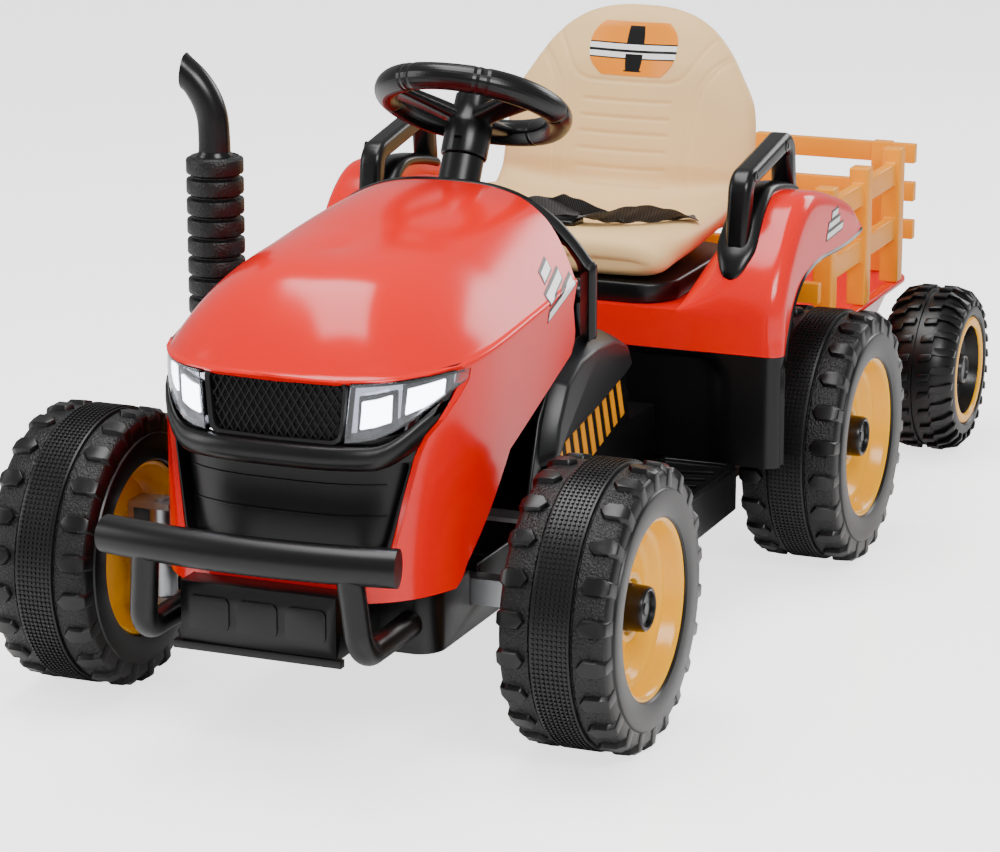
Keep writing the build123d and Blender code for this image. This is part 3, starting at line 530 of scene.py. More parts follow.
def make_rim(name, half, lip_radius):
    outline = [
        (half - 26.0, 0.0), (half - 26.0, 17.0), (half - 24.5, 23.0), (half - 21.0, 25.5), (
            half - 20.5, 31.0,
        ),
        (half - 25.0, 36.0), (half - 27.5, 42.0), (half - 27.8, 49.0), (half - 27.8, 53.0),
        (half - 27.0, 58.0), (half - 23.5, 62.5), (half - 18.0, 65.0), (half - 16.5, 67.5),
        (half - 15.5, 71.5), (half - 10.0, 74.5), (half - 4.0, 76.5), (half - 0.8, 78.2),
        (half + 0.4, 80.5), (half + 0.2, 82.6), (half - 1.6, 83.6), (half - 5.0, 83.0),
        (half - 12.0, 81.4), (half - 34.0, 80.4), (-(half - 30.0), 80.4), (-(half - 12.0), 81.4),
        (-(half - 3.0), 82.6), (-(half - 1.0), 80.0), (-(half - 3.0), 77.0), (-(half - 22.0), 72.0),
        (-(half - 30.0), 64.0), (-(half - 31.0), 30.0), (-(half - 31.0), 0.0),
    ]
    grow = lip_radius / 83.0
    rim = lathe(name, [(along, r * grow) for along, r in outline], 96)
    open_edit(rim)
    spacing = 2 * pi / SCREWS

    def is_recess(face):
        spot = face.calc_center_median()
        if spot.x < 0 or abs(hypot(spot.y, spot.z) / MM - 51.0 * grow) > 2.2:
            return False
        offset = (atan2(spot.y, spot.z) + spacing / 2 + 0.033) % spacing - spacing / 2
        return abs(offset) < 0.034

    pick(rim, is_recess)
    bpy.ops.mesh.inset(thickness=0.5 * MM)
    bpy.ops.mesh.extrude_region_move(TRANSFORM_OT_translate={"value": (-5.0 * MM, 0, 0)})
    deselect()
    return rim


tractor_rim = make_rim("tractor_rim", tyre_half - 5.5, 83.0)
print("rim faces", len(tractor_rim.data.polygons))

# %% [markdown]
# ### Hub caps
# A black cap snaps over the axle nut. It is a short cup with a rounded rim and a face that
# sits a little lower.

# %% Hub cap
hub_cap = lathe(
    "tractor_hub_cap",
    [
        (14.0, 0.0), (14.0, 21.5), (tyre_half - 12.0, 20.6), (tyre_half - 9.4, 19.6),
        (tyre_half - 8.6, 18.0), (tyre_half - 9.2, 16.2), (tyre_half - 12.2, 15.4),
        (tyre_half - 12.4, 6.2), (tyre_half - 11.0, 5.0), (tyre_half - 11.0, 0.0),
    ],
    64,
)
print("hub cap", len(hub_cap.data.polygons))

# %% [markdown]
# ### The four tractor wheels
# Each wheel is a set of copies, placed on its axle. The right side is turned round, so
# that its bowl faces out as well.

# %% Place the tractor wheels
for label, centre in wheel_centre.items():
    if label.startswith("trailer"):
        continue
    turn = Matrix.Rotation(0.0 if label.endswith("left") else pi, 4, "Z")
    spot = Matrix.Translation(centre) @ turn
    wheel_body = f"{label}_wheel"
    for source, part, slot, names in (
        (tractor_tyre, "tyre", "tyre_black", None),
        (tractor_rim, "rim", "rim_yellow", ("rim_yellow",)),
        (hub_cap, "hub_cap", "black_grip", ("black_grip",)),
    ):
        piece = copy_of(source, f"{label}_{part}_moulded", spot)
        if names:
            paint(piece, *names)
        place(piece, wheel_body, slot, f"{label}_{part}")
for source in (tractor_tyre, tractor_rim, hub_cap):
    bpy.data.objects.remove(source, do_unlink=True)
print("tractor wheels placed")

# %% [markdown]
# ## Shell surfaces
# Blown shells are smooth double-curved sheets. Each one starts as a grid whose rows of
# points are laid on the shape, then it gets its wall with Solidify. The nose of the hood
# is a rounded box, so one function gives the nose's outline seen from above, and
# everything in the nose follows it.


# %% Shell helpers
def shape_grid(name, rows):
    """A grid primitive whose rows of points, in millimetres, are laid on a shape."""
    deselect()
    across, along = len(rows[0]), len(rows)
    bpy.ops.mesh.primitive_grid_add(x_subdivisions=across - 1, y_subdivisions=along - 1, size=1.0)
    sheet = bpy.context.object
    sheet.name = name
    sheet.data.name = name
    flat = [Vector(point) * MM for row in rows for point in row]
    for vertex, spot in zip(sheet.data.vertices, flat):
        vertex.co = spot
    return sheet


def modify(piece, kind, **settings):
    """Adds one modifier, gives it its settings and applies it."""
    deselect()
    piece.select_set(True)
    bpy.context.view_layer.objects.active = piece
    modifier = piece.modifiers.new(kind.lower(), kind)
    for key, value in settings.items():
        setattr(modifier, key, value)
    bpy.ops.object.modifier_apply(modifier=modifier.name)
    return piece


def wall(piece, thickness, facing, smooth_angle=35):
    """Turns a sheet's faces towards a direction and gives it a wall behind them."""
    normal_sum = sum((p.normal * p.area for p in piece.data.polygons), Vector())
    if normal_sum.dot(Vector(facing)) < 0:
        piece.data.flip_normals()
    modify(piece, "SOLIDIFY", thickness=thickness * MM, offset=-1.0, use_even_offset=True)
    piece.select_set(True)
    bpy.ops.object.shade_smooth_by_angle(angle=radians(smooth_angle))
    return piece


def prism(name, outline, reach):
    """A closed block: an outline of points pushed along a vector, all in millimetres."""
    block = draw_line(name, outline, closed=True)
    bpy.ops.mesh.extrude_region_move(TRANSFORM_OT_translate={"value": Vector(reach) * MM})
    bpy.ops.mesh.select_all(action="SELECT")
    bpy.ops.mesh.normals_make_consistent(inside=False)
    deselect()
    return block


def carve(piece, cutter, operation="DIFFERENCE"):
    modify(piece, "BOOLEAN", object=cutter, operation=operation, solver="EXACT")
    bpy.data.objects.remove(cutter, do_unlink=True)


def join(target, *others):
    deselect()
    for other in others:
        other.select_set(True)
    target.select_set(True)
    bpy.context.view_layer.objects.active = target
    bpy.ops.object.join()
    return target


def mix(a, b, t):
    return a + (b - a) * t


AXLE_Y = front_axle.y / MM
NOSE_Y = hood_low[1] / MM
HOOD_HALF = (hood_high[0] - hood_low[0]) / 2 / MM
HOOD_TOP = hood_high[2] / MM
NOSE_DEPTH = 210.0
SHOULDER_Y = NOSE_Y + NOSE_DEPTH


def nose_y(x, depth=0.0):
    """How far forward the nose is at x; depth moves its surface inwards."""
    share = min(1.0, abs(x) / (HOOD_HALF - depth))
    return SHOULDER_Y - (NOSE_DEPTH - depth) * (1 - share**3) ** (1 / 3)


print("nose from", round(NOSE_Y), "to", round(SHOULDER_Y), "half", round(HOOD_HALF), "top", round(HOOD_TOP))

# %% [markdown]
# ## Hood
# The hood is one glossy red shell: side panels, a small ledge that runs back from the
# lamps, and a crowned top. Its rows run from the lower edge up and over to the spine. The
# left half is laid out, mirrored, given its wall and trimmed like the moulded part.

# %% Hood
REAR_Y = hood_high[1] / MM
LOWER_Z = hood_low[2] / MM
NOSE_STEPS = 28
SIDE_STEPS = 14


def crease_height(y):
    return 349.0 + max(0.0, y - (AXLE_Y - 60.0)) / 300.0 * 29.0


def spine_height(y):
    return HOOD_TOP - 18.0 * ((REAR_Y - y) / 232.0) ** 2


def hood_column(x, y):
    """Points from the lower edge at one place of the outline up to the spine."""
    crease = crease_height(y)
    inward = Vector((-x / HOOD_HALF * abs(x / HOOD_HALF), 1.0 - abs(x / HOOD_HALF) ** 3, 0)).normalized()
    column = [Vector((x, y, mix(LOWER_Z, crease - 7.0, i / 7))) for i in range(8)]
    column += [
        Vector((x, y, crease - 3.0)),
        Vector((x, y, crease - 1.2)) + inward * 0.8,
        Vector((x, y, crease)) + inward * 2.4,
        Vector((x, y, crease + 0.4)) + inward * 4.0,
    ]
    edge = column[-1]
    goal_y = SHOULDER_Y + (y - SHOULDER_Y) * 0.25 if y < SHOULDER_Y else y
    goal = Vector((0.0, goal_y, spine_height(goal_y)))
    for i in range(1, 19):
        share = (i / 18) ** 1.35
        spot = edge.lerp(goal, share)
        spot.z = mix(edge.z, goal.z, 1 - (1 - share) ** 2.9)
        column.append(spot)
    return column


hood_columns = []
for i in range(NOSE_STEPS + 1):
    angle = pi / 2 * i / NOSE_STEPS
    hood_columns.append(
        hood_column(
            HOOD_HALF * sin(angle) ** (2 / 3) if i else 0.0,
            SHOULDER_Y - NOSE_DEPTH * max(0.0, cos(angle)) ** (2 / 3),
        )
    )
for i in range(1, SIDE_STEPS + 1):
    hood_columns.append(hood_column(HOOD_HALF, mix(SHOULDER_Y, REAR_Y, i / SIDE_STEPS)))
hood = shape_grid("hood_moulded", hood_columns)
modify(hood, "MIRROR", use_axis=(True, False, False), use_clip=True, merge_threshold=0.0005)
modify(hood, "SUBSURF", levels=1, render_levels=1)
close_up(hood)
wall(hood, 3.0, (0, 0, 1))

# the side view of the trimmed shell: under the nose, up over the wheel, to the rear edge
side_view = [
    (NOSE_Y - 20, LOWER_Z), (AXLE_Y - 66, LOWER_Z), (AXLE_Y - 58, LOWER_Z + 7), (AXLE_Y - 50, LOWER_Z + 20),
    (AXLE_Y - 8, LOWER_Z + 62), (AXLE_Y + 30, LOWER_Z + 103), (REAR_Y - 62, 306), (REAR_Y - 54, 316),
    (REAR_Y - 52, 326), (REAR_Y - 57, 350), (REAR_Y - 50, 366), (REAR_Y - 32, 392), (REAR_Y - 12, 420),
    (REAR_Y - 2, HOOD_TOP - 8), (REAR_Y, HOOD_TOP + 20), (NOSE_Y - 20, HOOD_TOP + 20),
]
carve(
    hood,
    prism("hood_side_view", [(-HOOD_HALF - 20, y, z) for y, z in side_view], (2 * HOOD_HALF + 40, 0, 0)),
    "INTERSECT",
)
# half of the opening in the nose, from the middle of the lip round the lamp to the chin bar
opening = [
    (0, 347), (60, 346), (100, 346), (128, 347.5), (139, 348), (143.5, 344), (143, 334), (140, 322),
    (134, 306), (125.5, 292), (121, 276), (114, 240), (106, 200), (102.5, 185), (97, 178), (88, 175.5), (
        0, 174,
    ),
]
opening_loop = opening + [(-x, z) for x, z in reversed(opening[1:-1])]
carve(hood, prism("nose_opening", [(x, NOSE_Y - 20, z) for x, z in opening_loop], (0, NOSE_DEPTH - 20, 0)))


def opening_strip(name, outset, front, back, inset):
    """A turned-in edge round the opening, from the shell's surface to its inner edge."""
    middle_point = Vector((0, 0, 262.0))
    outer, inner = [], []
    for x, z in opening_loop + [opening_loop[0]]:
        spot = Vector((x, 0, z))
        inward = (middle_point - spot).normalized()
        at_front = spot - inward * outset
        at_back = spot + inward * inset
        outer.append(Vector((at_front.x, nose_y(at_front.x) + front, at_front.z)))
        inner.append(Vector((at_back.x, nose_y(at_back.x) + back, at_back.z)))
    between = [a.lerp(b, 0.35) + Vector((0, -1.2, 0)) for a, b in zip(outer, inner)]
    return shape_grid(name, [outer, between, inner])


hood_edge = opening_strip("hood_edge", 1.5, 0.4, 9.0, 6.0)
close_up(hood_edge, 60)
wall(hood_edge, 2.0, (0, -1, 0), 60)
join(hood, hood_edge)
deselect()
hood.select_set(True)
bpy.context.view_layer.objects.active = hood
bpy.ops.object.shade_smooth_by_angle(angle=radians(28))
paint(hood, "red_shell")
place(hood, "chassis", "red_shell", "hood_shell")
print("hood", len(hood.data.polygons))

# %% [markdown]
# ## Nose
# A black surround fills the opening. It holds a diamond mesh between two lamps, a convex
# bar under them, and a deep panel with two thin ribs. Each is a sheet laid at its own
# depth behind the outline of the nose.


# %% Nose helpers
def nose_sheet(name, half_row, depth, thickness, across=28, smooth_angle=40):
    """A mirrored sheet: each row is its height and half width, at a depth (or depths)."""
    rows = []
    for index, (z, half) in enumerate(half_row):
        deep = depth[index] if isinstance(depth, (list, tuple)) else depth
        xs = [half * (2 * i / across - 1) for i in range(across + 1)]
        rows.append([Vector((x, nose_y(x) + deep, z)) for x in xs])
    return wall(shape_grid(name, rows), thickness, (0, -1, 0), smooth_angle)


def lamp_sheet(name, side, low, high, start, end, depth, thickness, along=16, up=6, crown=0.0):
    """A sheet on one side of the nose, between a lower and an upper line of heights."""
    rows = []
    for j in range(up + 1):
        row = []
        for i in range(along + 1):
            share = i / along
            x = mix(mix(start[0], start[1], j / up), mix(end[0], end[1], j / up), share)
            z = mix(low(share), high(share), j / up)
            bulge = crown * sin(pi * j / up) * sin(pi * share)
            row.append(Vector((side * x, nose_y(x) + depth - bulge, z)))
        rows.append(row)
    return wall(shape_grid(name, rows), thickness, (0, -1, 0), 40)


def line_through(*values):
    """Heights at even shares of the way, with straight lines between."""
    def height(share):
        spot = min(share, 0.9999) * (len(values) - 1)
        return mix(values[int(spot)], values[int(spot) + 1], spot - int(spot))
    return height


# %% Black surround and deep panel
surround = nose_sheet(
    "nose_surround",
    [
        (171, 96), (176, 100), (200, 104), (240, 112), (276, 119), (292, 124), (306, 132), (322, 143),
        (336, 147), (350, 147),
    ],
    9.0, 2.5,
)
recess = [
    (-86, 187), (86, 187), (93, 190), (97, 197), (113, 266), (113, 272), (-113, 272), (-113, 266), (-97, 197),
    (-93, 190),
]
carve(surround, prism("recess_hole", [(x, NOSE_Y - 20, z) for x, z in recess], (0, 120, 0)))
lamp_hole = [
    (-142, 344), (-144, 336), (-136, 318), (-118, 300), (-60, 289), (60, 289), (118, 300), (136, 318), (
        144, 336,
    ),
    (142, 344),
]
carve(surround, prism("lamp_hole", [(x, NOSE_Y - 20, z) for x, z in lamp_hole], (0, 150, 0)))
wall_rows = [[], [], []]
for x, z in recess + [recess[0]]:
    for row, deep in zip(wall_rows, (8.4, 16.0, 25.0)):
        shrink = 1.0 - (deep - 8.4) * 0.0016
        row.append(Vector((x * shrink, nose_y(x) + deep, mix(229.0, z, shrink))))
recess_wall = shape_grid("recess_wall", wall_rows)
close_up(recess_wall, 50)
wall(recess_wall, 1.5, (0, 0, 0), 50)
panel = nose_sheet("grille_back", [(z, mix(101, 117, (z - 180) / 95)) for z in range(180, 280, 5)], 23.0, 3.0)
join(surround, recess_wall, panel)
for index, height in enumerate((222.0, 250.0)):
    rib = nose_sheet(
        f"grille_rib_{index}",
        [(height - 1.0, 92), (height - 0.4, 92), (height + 0.4, 92), (height + 1.0, 92)],
        [23, 21.6, 21.6, 23], 1.2,
    )
    join(surround, rib)
deselect()
surround.select_set(True)
bpy.context.view_layer.objects.active = surround
bpy.ops.object.shade_smooth_by_angle(angle=radians(35))
paint(surround, "black_body")
place(surround, "chassis", "black_body", "grille_panel")

chin = nose_sheet(
    "chin_bar",
    [
        (266, 118), (267.5, 120.5), (271, 124), (276, 127), (282, 129.5), (287, 131), (289.5, 131.5),
        (290, 131),
    ],
    [9.0, 3.0, -1.2, -3.0, -2.6, 0.0, 4.0, 9.0], 2.5, 36,
)
for vertex in chin.data.vertices:
    x = vertex.co.x / MM
    vertex.co.z += 34 * MM * max(0.0, (abs(x) - 88) / 44) ** 1.7
paint(chin, "black_body")
place(chin, "chassis", "black_body")

# %% Diamond mesh
backing = nose_sheet("mesh_backing", [(286, 62), (300, 64), (320, 66), (344, 68)], 15.0, 2.0)
MESH_PITCH = 8.0


def mesh_wire(name, start_x, lean):
    rows = []
    for j in range(13):
        z = mix(290.0, 344.0, j / 12)
        x = start_x + lean * (z - 290.0)
        if abs(x) > mix(58.0, 64.0, j / 12):
            continue
        rows.append([
            Vector((x + dx, nose_y(x) + deep, z))
            for dx, deep in ((-0.8, 13.5), (-0.5, 11.6), (0.5, 11.6), (0.8, 13.5))
        ])
    return shape_grid(name, rows) if len(rows) > 1 else None


mesh_wires = []
for lean in (0.62, -0.62):
    for index in range(-13, 14):
        wire = mesh_wire(f"wire_{lean}_{index}", index * MESH_PITCH - lean * 27.0, lean)
        if wire:
            mesh_wires.append(wall(wire, 0.8, (0, -1, 0)))
frame_rows = [[], [], [], []]
mesh_edge = [
    (-55, 291), (0, 290), (55, 291), (60, 294), (62, 300), (65.5, 338), (64, 342.5), (60, 344.5), (0, 345),
    (-60, 344.5), (-64, 342.5), (-65.5, 338), (-62, 300), (-60, 294), (-55, 291),
]
for x, z in mesh_edge:
    for row, (grow, deep) in zip(frame_rows, ((-2.4, 15.0), (-2.0, 8.6), (1.8, 6.6), (3.0, 9.0))):
        out = Vector((x, 0, (z - 318) * 1.6)).normalized() * grow
        row.append(Vector((x + out.x, nose_y(x) + deep, z + out.z)))
mesh_frame = shape_grid("mesh_frame", frame_rows)
close_up(mesh_frame, 50)
wall(mesh_frame, 1.2, (0, -1, 0), 50)
diamond_mesh = join(backing, mesh_frame, *mesh_wires)
diamond_mesh.name = "diamond_mesh"
paint(diamond_mesh, "mesh_black")
place(diamond_mesh, "chassis", "mesh_black", "grille_mesh")
print("mesh", len(diamond_mesh.data.polygons))

# %% [markdown]
# ### Lamps
# Each lamp is a bright bowl with two lit blocks behind a clear cover with a slanted inner
# edge. The cover is flush with the nose and sweeps up and back to its tip.

# %% Lamps
lamp_floor_line = line_through(291.5, 292.5, 295.0, 301.0, 309.5, 321.0, 334.0)
lamp_roof_line = line_through(343.5, 344.0, 344.5, 345.0, 345.5, 346.0, 345.0)


def inset_line(line, amount):
    return lambda share: line(share) + amount


for side, hand in ((1, "left"), (-1, "right")):
    bowl = lamp_sheet(
        f"lamp_bowl_{hand}", side, inset_line(lamp_floor_line, 0.5), inset_line(lamp_roof_line, -0.5),
        (66.5, 71.5), (140, 146), 17.0, 1.5,
    )
    rim_low = lamp_sheet(
        f"lamp_rim_low_{hand}", side, inset_line(lamp_floor_line, -0.5), inset_line(lamp_floor_line, 3.5),
        (66, 66.5), (141, 143), 5.5, 11.0, up=2,
    )
    rim_high = lamp_sheet(
        f"lamp_rim_high_{hand}", side, inset_line(lamp_roof_line, -3.0), inset_line(lamp_roof_line, 0.5),
        (70.5, 71), (144, 146), 5.5, 11.0, up=2,
    )
    paint(bowl, "lamp_housing")
    dark_rims = join(rim_low, rim_high)
    dark_rims.name = f"lamp_surround_{hand}"
    paint(dark_rims, "black_grip")
    place(dark_rims, "chassis", "black_grip")
    place(bowl, "chassis", "lamp_housing", *(("headlight_housings",) if hand == "left" else ()))
    blocks = []
    for index, (first, last, drop) in enumerate(((76.0, 100.0, 0.0), (109.0, 131.0, 0.0))):
        low = line_through(*([302.0, 304.0, 308.0] if index == 0 else [313.0, 317.5, 324.0]))
        high = line_through(*([327.0, 329.0, 332.0] if index == 0 else [336.0, 338.0, 340.0]))
        shade = lamp_sheet(
            f"lamp_shade_{hand}_{index}", side, inset_line(low, -3.0), inset_line(high, 3.0),
            (first - 3, first - 1), (last + 3, last + 4), 13.5, 2.0, along=8, up=6,
        )
        block = lamp_sheet(
            f"lamp_block_{hand}_{index}", side, low, high, (first, first + 2), (last, last + 1), 11.0, 3.0,
            along=8, up=6, crown=2.5,
        )
        modify(block, "BEVEL", width=1.5 * MM, segments=2, limit_method="ANGLE")
        paint(shade, "black_grip")
        place(shade, "chassis", "black_grip")
        blocks.append(block)
    lit = join(*blocks)
    lit.name = f"lamp_blocks_{hand}"
    paint(lit, "lamp_light")
    place(lit, "chassis", "lamp_light", *(("headlight_leds",) if hand == "left" else ()))
    cover = lamp_sheet(
        f"lamp_cover_{hand}", side, lamp_floor_line, lamp_roof_line, (66, 72), (142, 147), 3.5, 1.6,
        along=24, up=8, crown=1.5,
    )
    modify(cover, "BEVEL", width=0.6 * MM, segments=2, limit_method="ANGLE")
    paint(cover, "lamp_lens")
    place(cover, "chassis", "lamp_lens", *(("headlight_lenses",) if hand == "left" else ()))
print("lamps done")

# %% [markdown]
# ## Rear body
# One red shell makes the deck, the concave sides of the seat well and both fenders. Seen
# from the side it has two lines: the outer line over the fender and down the front wall,
# and the line of the wheel arch. Each row of the shell starts at the arch, crosses the
# side, rounds the edge and runs in to the middle of the deck.

# %% Smooth lines
def smooth_line(points, steps):
    """A curve through points, as evenly stepped Catmull-Rom spans."""
    spots = [Vector(p) for p in points]
    spots = [spots[0] * 2 - spots[1]] + spots + [spots[-1] * 2 - spots[-2]]
    lengths = [(spots[i + 1] - spots[i]).length for i in range(1, len(spots) - 2)]
    total = sum(lengths)
    line = []
    for step in range(steps + 1):
        goal = total * step / steps
        index = 0
        while index < len(lengths) - 1 and goal > lengths[index]:
            goal -= lengths[index]
            index += 1
        t = min(1.0, goal / lengths[index])
        a, b, c, d = spots[index:index + 4]
        bend = (2 * a - 5 * b + 4 * c - d) * t * t
        line.append(0.5 * (2 * b + (c - a) * t + bend + (3 * b - a - 3 * c + d) * t**3))
    return line


def mirrored(piece, smooth_angle=35):
    """Mirrors a half piece that meets the middle, as one mesh."""
    modify(piece, "MIRROR", use_axis=(True, False, False), use_clip=True, merge_threshold=0.0006)
    return close_up(piece, smooth_angle)


REAR_AXLE_Y = rear_axle.y / MM
BODY_LOW, BODY_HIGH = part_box("rear_body_shell")
BODY_HALF = BODY_HIGH[0] / MM
BODY_FRONT = BODY_LOW[1] / MM
BODY_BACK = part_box("rear_lower_body")[1][1] / MM
SPLIT_Z = BODY_LOW[2] / MM
DECK_Z = SPLIT_Z + 40.0
EDGE = 17.0

# %% Red rear shell
outer_side = [
    (109, 330), (104, 342), (88, 355), (66, 364), (29, 375), (-10, 385), (-51, 391), (-78, 387), (-104, 372),
    (-124, 353), (-141, 332), (-152, 314), (-158, 300), (-160.5, 288), (-161, 276), (-161, 262), (-161, 245),
]
arch_side = [
    (108, 326), (98, 323), (80, 321), (55, 320), (31, 320), (0, 321), (-25, 322), (-46, 321), (-66, 318),
    (-84, 314), (-98, 308), (-112, 298), (-125, 284), (-134, 270), (-140, 258), (-143, 250), (-144, 245),
]
ROWS = 84
outer_line = smooth_line([(0, REAR_AXLE_Y + y, z) for y, z in outer_side], ROWS)
arch_path = smooth_line([(0, REAR_AXLE_Y + y, z) for y, z in arch_side], ROWS)
body_rows = []
for index, (rim_point, arch_point) in enumerate(zip(outer_line, arch_path)):
    towards = arch_point - rim_point
    gap = towards.length
    towards.normalize()
    radius = min(EDGE, gap * 0.8)
    row = [Vector((BODY_HALF - 9, 0, 0)) + arch_point - towards * 0.2, Vector((BODY_HALF, 0, 0)) + arch_point]
    row += [
        Vector((BODY_HALF, 0, 0)) + arch_point.lerp(rim_point + towards * radius, i / 4) for i in range(1, 5)
    ]
    for i in range(1, 9):
        angle = pi / 2 * i / 8
        spot = rim_point + towards * (radius - radius * sin(angle))
        row.append(Vector((BODY_HALF - radius + radius * cos(angle), spot.y, spot.z)))
    inner_y = min(rim_point.y, BODY_BACK)
    floor_z = min(rim_point.z, DECK_Z)
    top_x = BODY_HALF - radius
    row += [
        Vector((mix(top_x, 196, i / 3), mix(rim_point.y, inner_y, i / 3), rim_point.z)) for i in range(1, 4)
    ]
    for i in range(1, 13):
        angle = pi / 2 * i / 12
        across = 148 + 48 * (1 - sin(angle)) ** 0.9
        drop = (1 - cos(angle)) if rim_point.z > DECK_Z + 1 else 0.0
        drop = sin(angle * 0.5) ** 0.9 * 1.27 if i < 12 else 1.0
        row.append(Vector((across, inner_y, mix(rim_point.z, floor_z, drop))))
    row += [Vector((148 * (1 - i / 4), inner_y, floor_z)) for i in range(1, 5)]
    body_rows.append(row)
rear_shell = mirrored(shape_grid("rear_shell_moulded", body_rows), 50)
wall(rear_shell, 3.0, (0, -0.3, 1), 40)
# the back wall and the two walls inside the wheel arches
back_rows = [[Vector((x, BODY_BACK - 1.5, z)) for x in range(-188, 189, 47)] for z in (DECK_Z, 270, SPLIT_Z)]
back_wall = wall(shape_grid("rear_back_wall", back_rows), 3.0, (0, 1, 0))
side_walls = []
for side in (-1, 1):
    top_line = [p for p in outer_line if BODY_FRONT + 4 < p.y < BODY_BACK]
    rows = [[Vector((side * 191, p.y, mix(SPLIT_Z, p.z - 4, t / 3))) for t in range(4)] for p in top_line]
    side_walls.append(wall(shape_grid(f"arch_wall_{side}", rows), 3.0, (side, 0, 0)))
join(rear_shell, back_wall, *side_walls)
paint(rear_shell, "red_shell")
place(rear_shell, "chassis", "red_shell", "rear_body_shell")
print("rear shell", len(rear_shell.data.polygons))

# %% [markdown]
# ### Black lower body and arch lips
# Below the colour split the same front wall goes on in black, with a shallow recess beside
# the console. A rubbery black lip follows each wheel arch up to the tail of the fender.

# %% Lower body
LOWER_TOP = SPLIT_Z - 0.4
lower_rows = []
for j in range(25):
    z = mix(131.0, LOWER_TOP, j / 24)
    near_top = max(0.0, 1.0 - (LOWER_TOP - z) / 26.0)
    edge_x = 192.0 - 22.0 * near_top**2
    row = [Vector((BODY_HALF - 9, REAR_AXLE_Y - 142, z)), Vector((BODY_HALF, REAR_AXLE_Y - 143, z))]
    for i in range(10):
        angle = pi / 2 * i / 9
        row.append(Vector((BODY_HALF - EDGE + EDGE * cos(angle), BODY_FRONT + EDGE - EDGE * sin(angle), z)))
    for i in range(1, 31):
        x = mix(BODY_HALF - EDGE, 0, i / 30)
        step_in = 1 / (1 + 2.718 ** ((x - edge_x) / 2.2)) * (1 if z < LOWER_TOP - 9 else (LOWER_TOP - z) / 9)
        row.append(Vector((x, BODY_FRONT + 11.0 * step_in, z)))
    lower_rows.append(row)
lower_body = mirrored(shape_grid("lower_body_moulded", lower_rows), 40)
wall(lower_body, 3.0, (0, -1, 0), 40)
shell_rows = []
for z in (97.0, 170.0, LOWER_TOP):
    shell_rows.append([Vector(p) for p in (
        (189, BODY_FRONT + 14, z), (189, BODY_BACK - 18, z), (184, BODY_BACK - 5, z), (170, BODY_BACK, z),
        (0, BODY_BACK, z), (-170, BODY_BACK, z), (-184, BODY_BACK - 5, z), (-189, BODY_BACK - 18, z),
        (-189, BODY_FRONT + 14, z))])
tub_walls = shape_grid("lower_tub_walls", shell_rows)
close_up(tub_walls, 40)
wall(tub_walls, 3.0, (0, 1, 0), 40)
join(lower_body, tub_walls)
paint(lower_body, "black_body")
place(lower_body, "chassis", "black_body", "rear_lower_body")

lips = []
lip_path = list(arch_path)
lip_path += [Vector((0, REAR_AXLE_Y - 147 + i * 0.2, z)) for i, z in enumerate((232, 205, 170, 134))]
for side in (-1, 1):
    rows = []
    for index, spot in enumerate(lip_path):
        ahead = lip_path[min(index + 1, len(lip_path) - 1)] - lip_path[max(index - 1, 0)]
        down = Vector((0, ahead.z, -ahead.y)).normalized()
        if down.z > 0.2:
            down = -down
        loop = []
        for k in range(9):
            angle = 2 * pi * k / 8
            rim_spot = Vector((side * (BODY_HALF - 6 + 8 * cos(angle)), spot.y, spot.z))
            loop.append(rim_spot + down * (1.6 - 3.4 * sin(angle)))
        rows.append(loop)
    rows = [[sum(rows[0][:8], Vector()) / 8] * 9] + rows + [[sum(rows[-1][:8], Vector()) / 8] * 9]
    lips.append(close_up(shape_grid(f"arch_lip_{side}", rows), 50))
arch_lips = join(*lips)
arch_lips.name = "arch_lips"
paint(arch_lips, "black_grip")
place(arch_lips, "chassis", "black_grip", "arch_trims")
print("lower body", len(lower_body.data.polygons), "lips", len(arch_lips.data.polygons))

# %% [markdown]
# ## Dash
# A black cap closes the hood behind its rear edge. A lip shows round the red shell, then
# the cap slopes down to the rider. It follows the same section as the hood, drawn in.

# %% Dash
dash_section = hood_column(HOOD_HALF, REAR_Y)[5:]
dash_steps = [(-7, 0.975, -3), (-2, 1.0, 0.6), (2.5, 1.002, 1.6), (6, 0.996, 0.4), (8.5, 0.98, -3)]
dash_steps += [(22, 0.9, -9), (40, 0.83, -16), (54, 0.77, -23), (60, 0.73, -32), (61, 0.7, -44)]
dash_rows = []
for back, share, drop in dash_steps:
    dash_rows.append([Vector((p.x * share, REAR_Y + back, p.z + drop)) for p in dash_section])
last = dash_rows[-1]
for share in (0.35, 0.7, 1.0):
    dash_rows.append([p.lerp(Vector((0, REAR_Y + 52, 318)), share) + Vector((0, 0, 0)) for p in last])
dash = mirrored(shape_grid("dash_moulded", dash_rows), 45)
wall(dash, 2.5, (0, 0.3, 1), 45)
sleeve_hole = lathe("sleeve_hole", [(-160, 0), (-160, 21.5), (40, 21.5), (40, 0)], 48, axis=(0, 0, 1))
sleeve_hole.data.transform(
    Matrix.Translation(Vector(joints["steering_turn"]["pos_m"]))
    @ Vector(joints["steering_turn"]["axis"]).to_track_quat("Z", "Y").to_matrix().to_4x4()
)
carve(dash, sleeve_hole)
lever_low, lever_high = [Vector(corner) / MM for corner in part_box("gear_lever")]
lever_slot = prism(
    "lever_slot",
    [
        (lever_low.x - 4, lever_low.y - 32, lever_low.z - 20), (
            lever_high.x + 4, lever_low.y - 32, lever_low.z - 20,
        ),
        (lever_high.x + 4, lever_high.y + 12, lever_low.z - 20), (
            lever_low.x - 4, lever_high.y + 12, lever_low.z - 20,
        ),
    ],
    (0, 0, lever_high.z - lever_low.z + 60),
)
carve(dash, lever_slot)
paint(dash, "black_body")
place(dash, "chassis", "black_body", "dash_trim")
print("dash", len(dash.data.polygons))

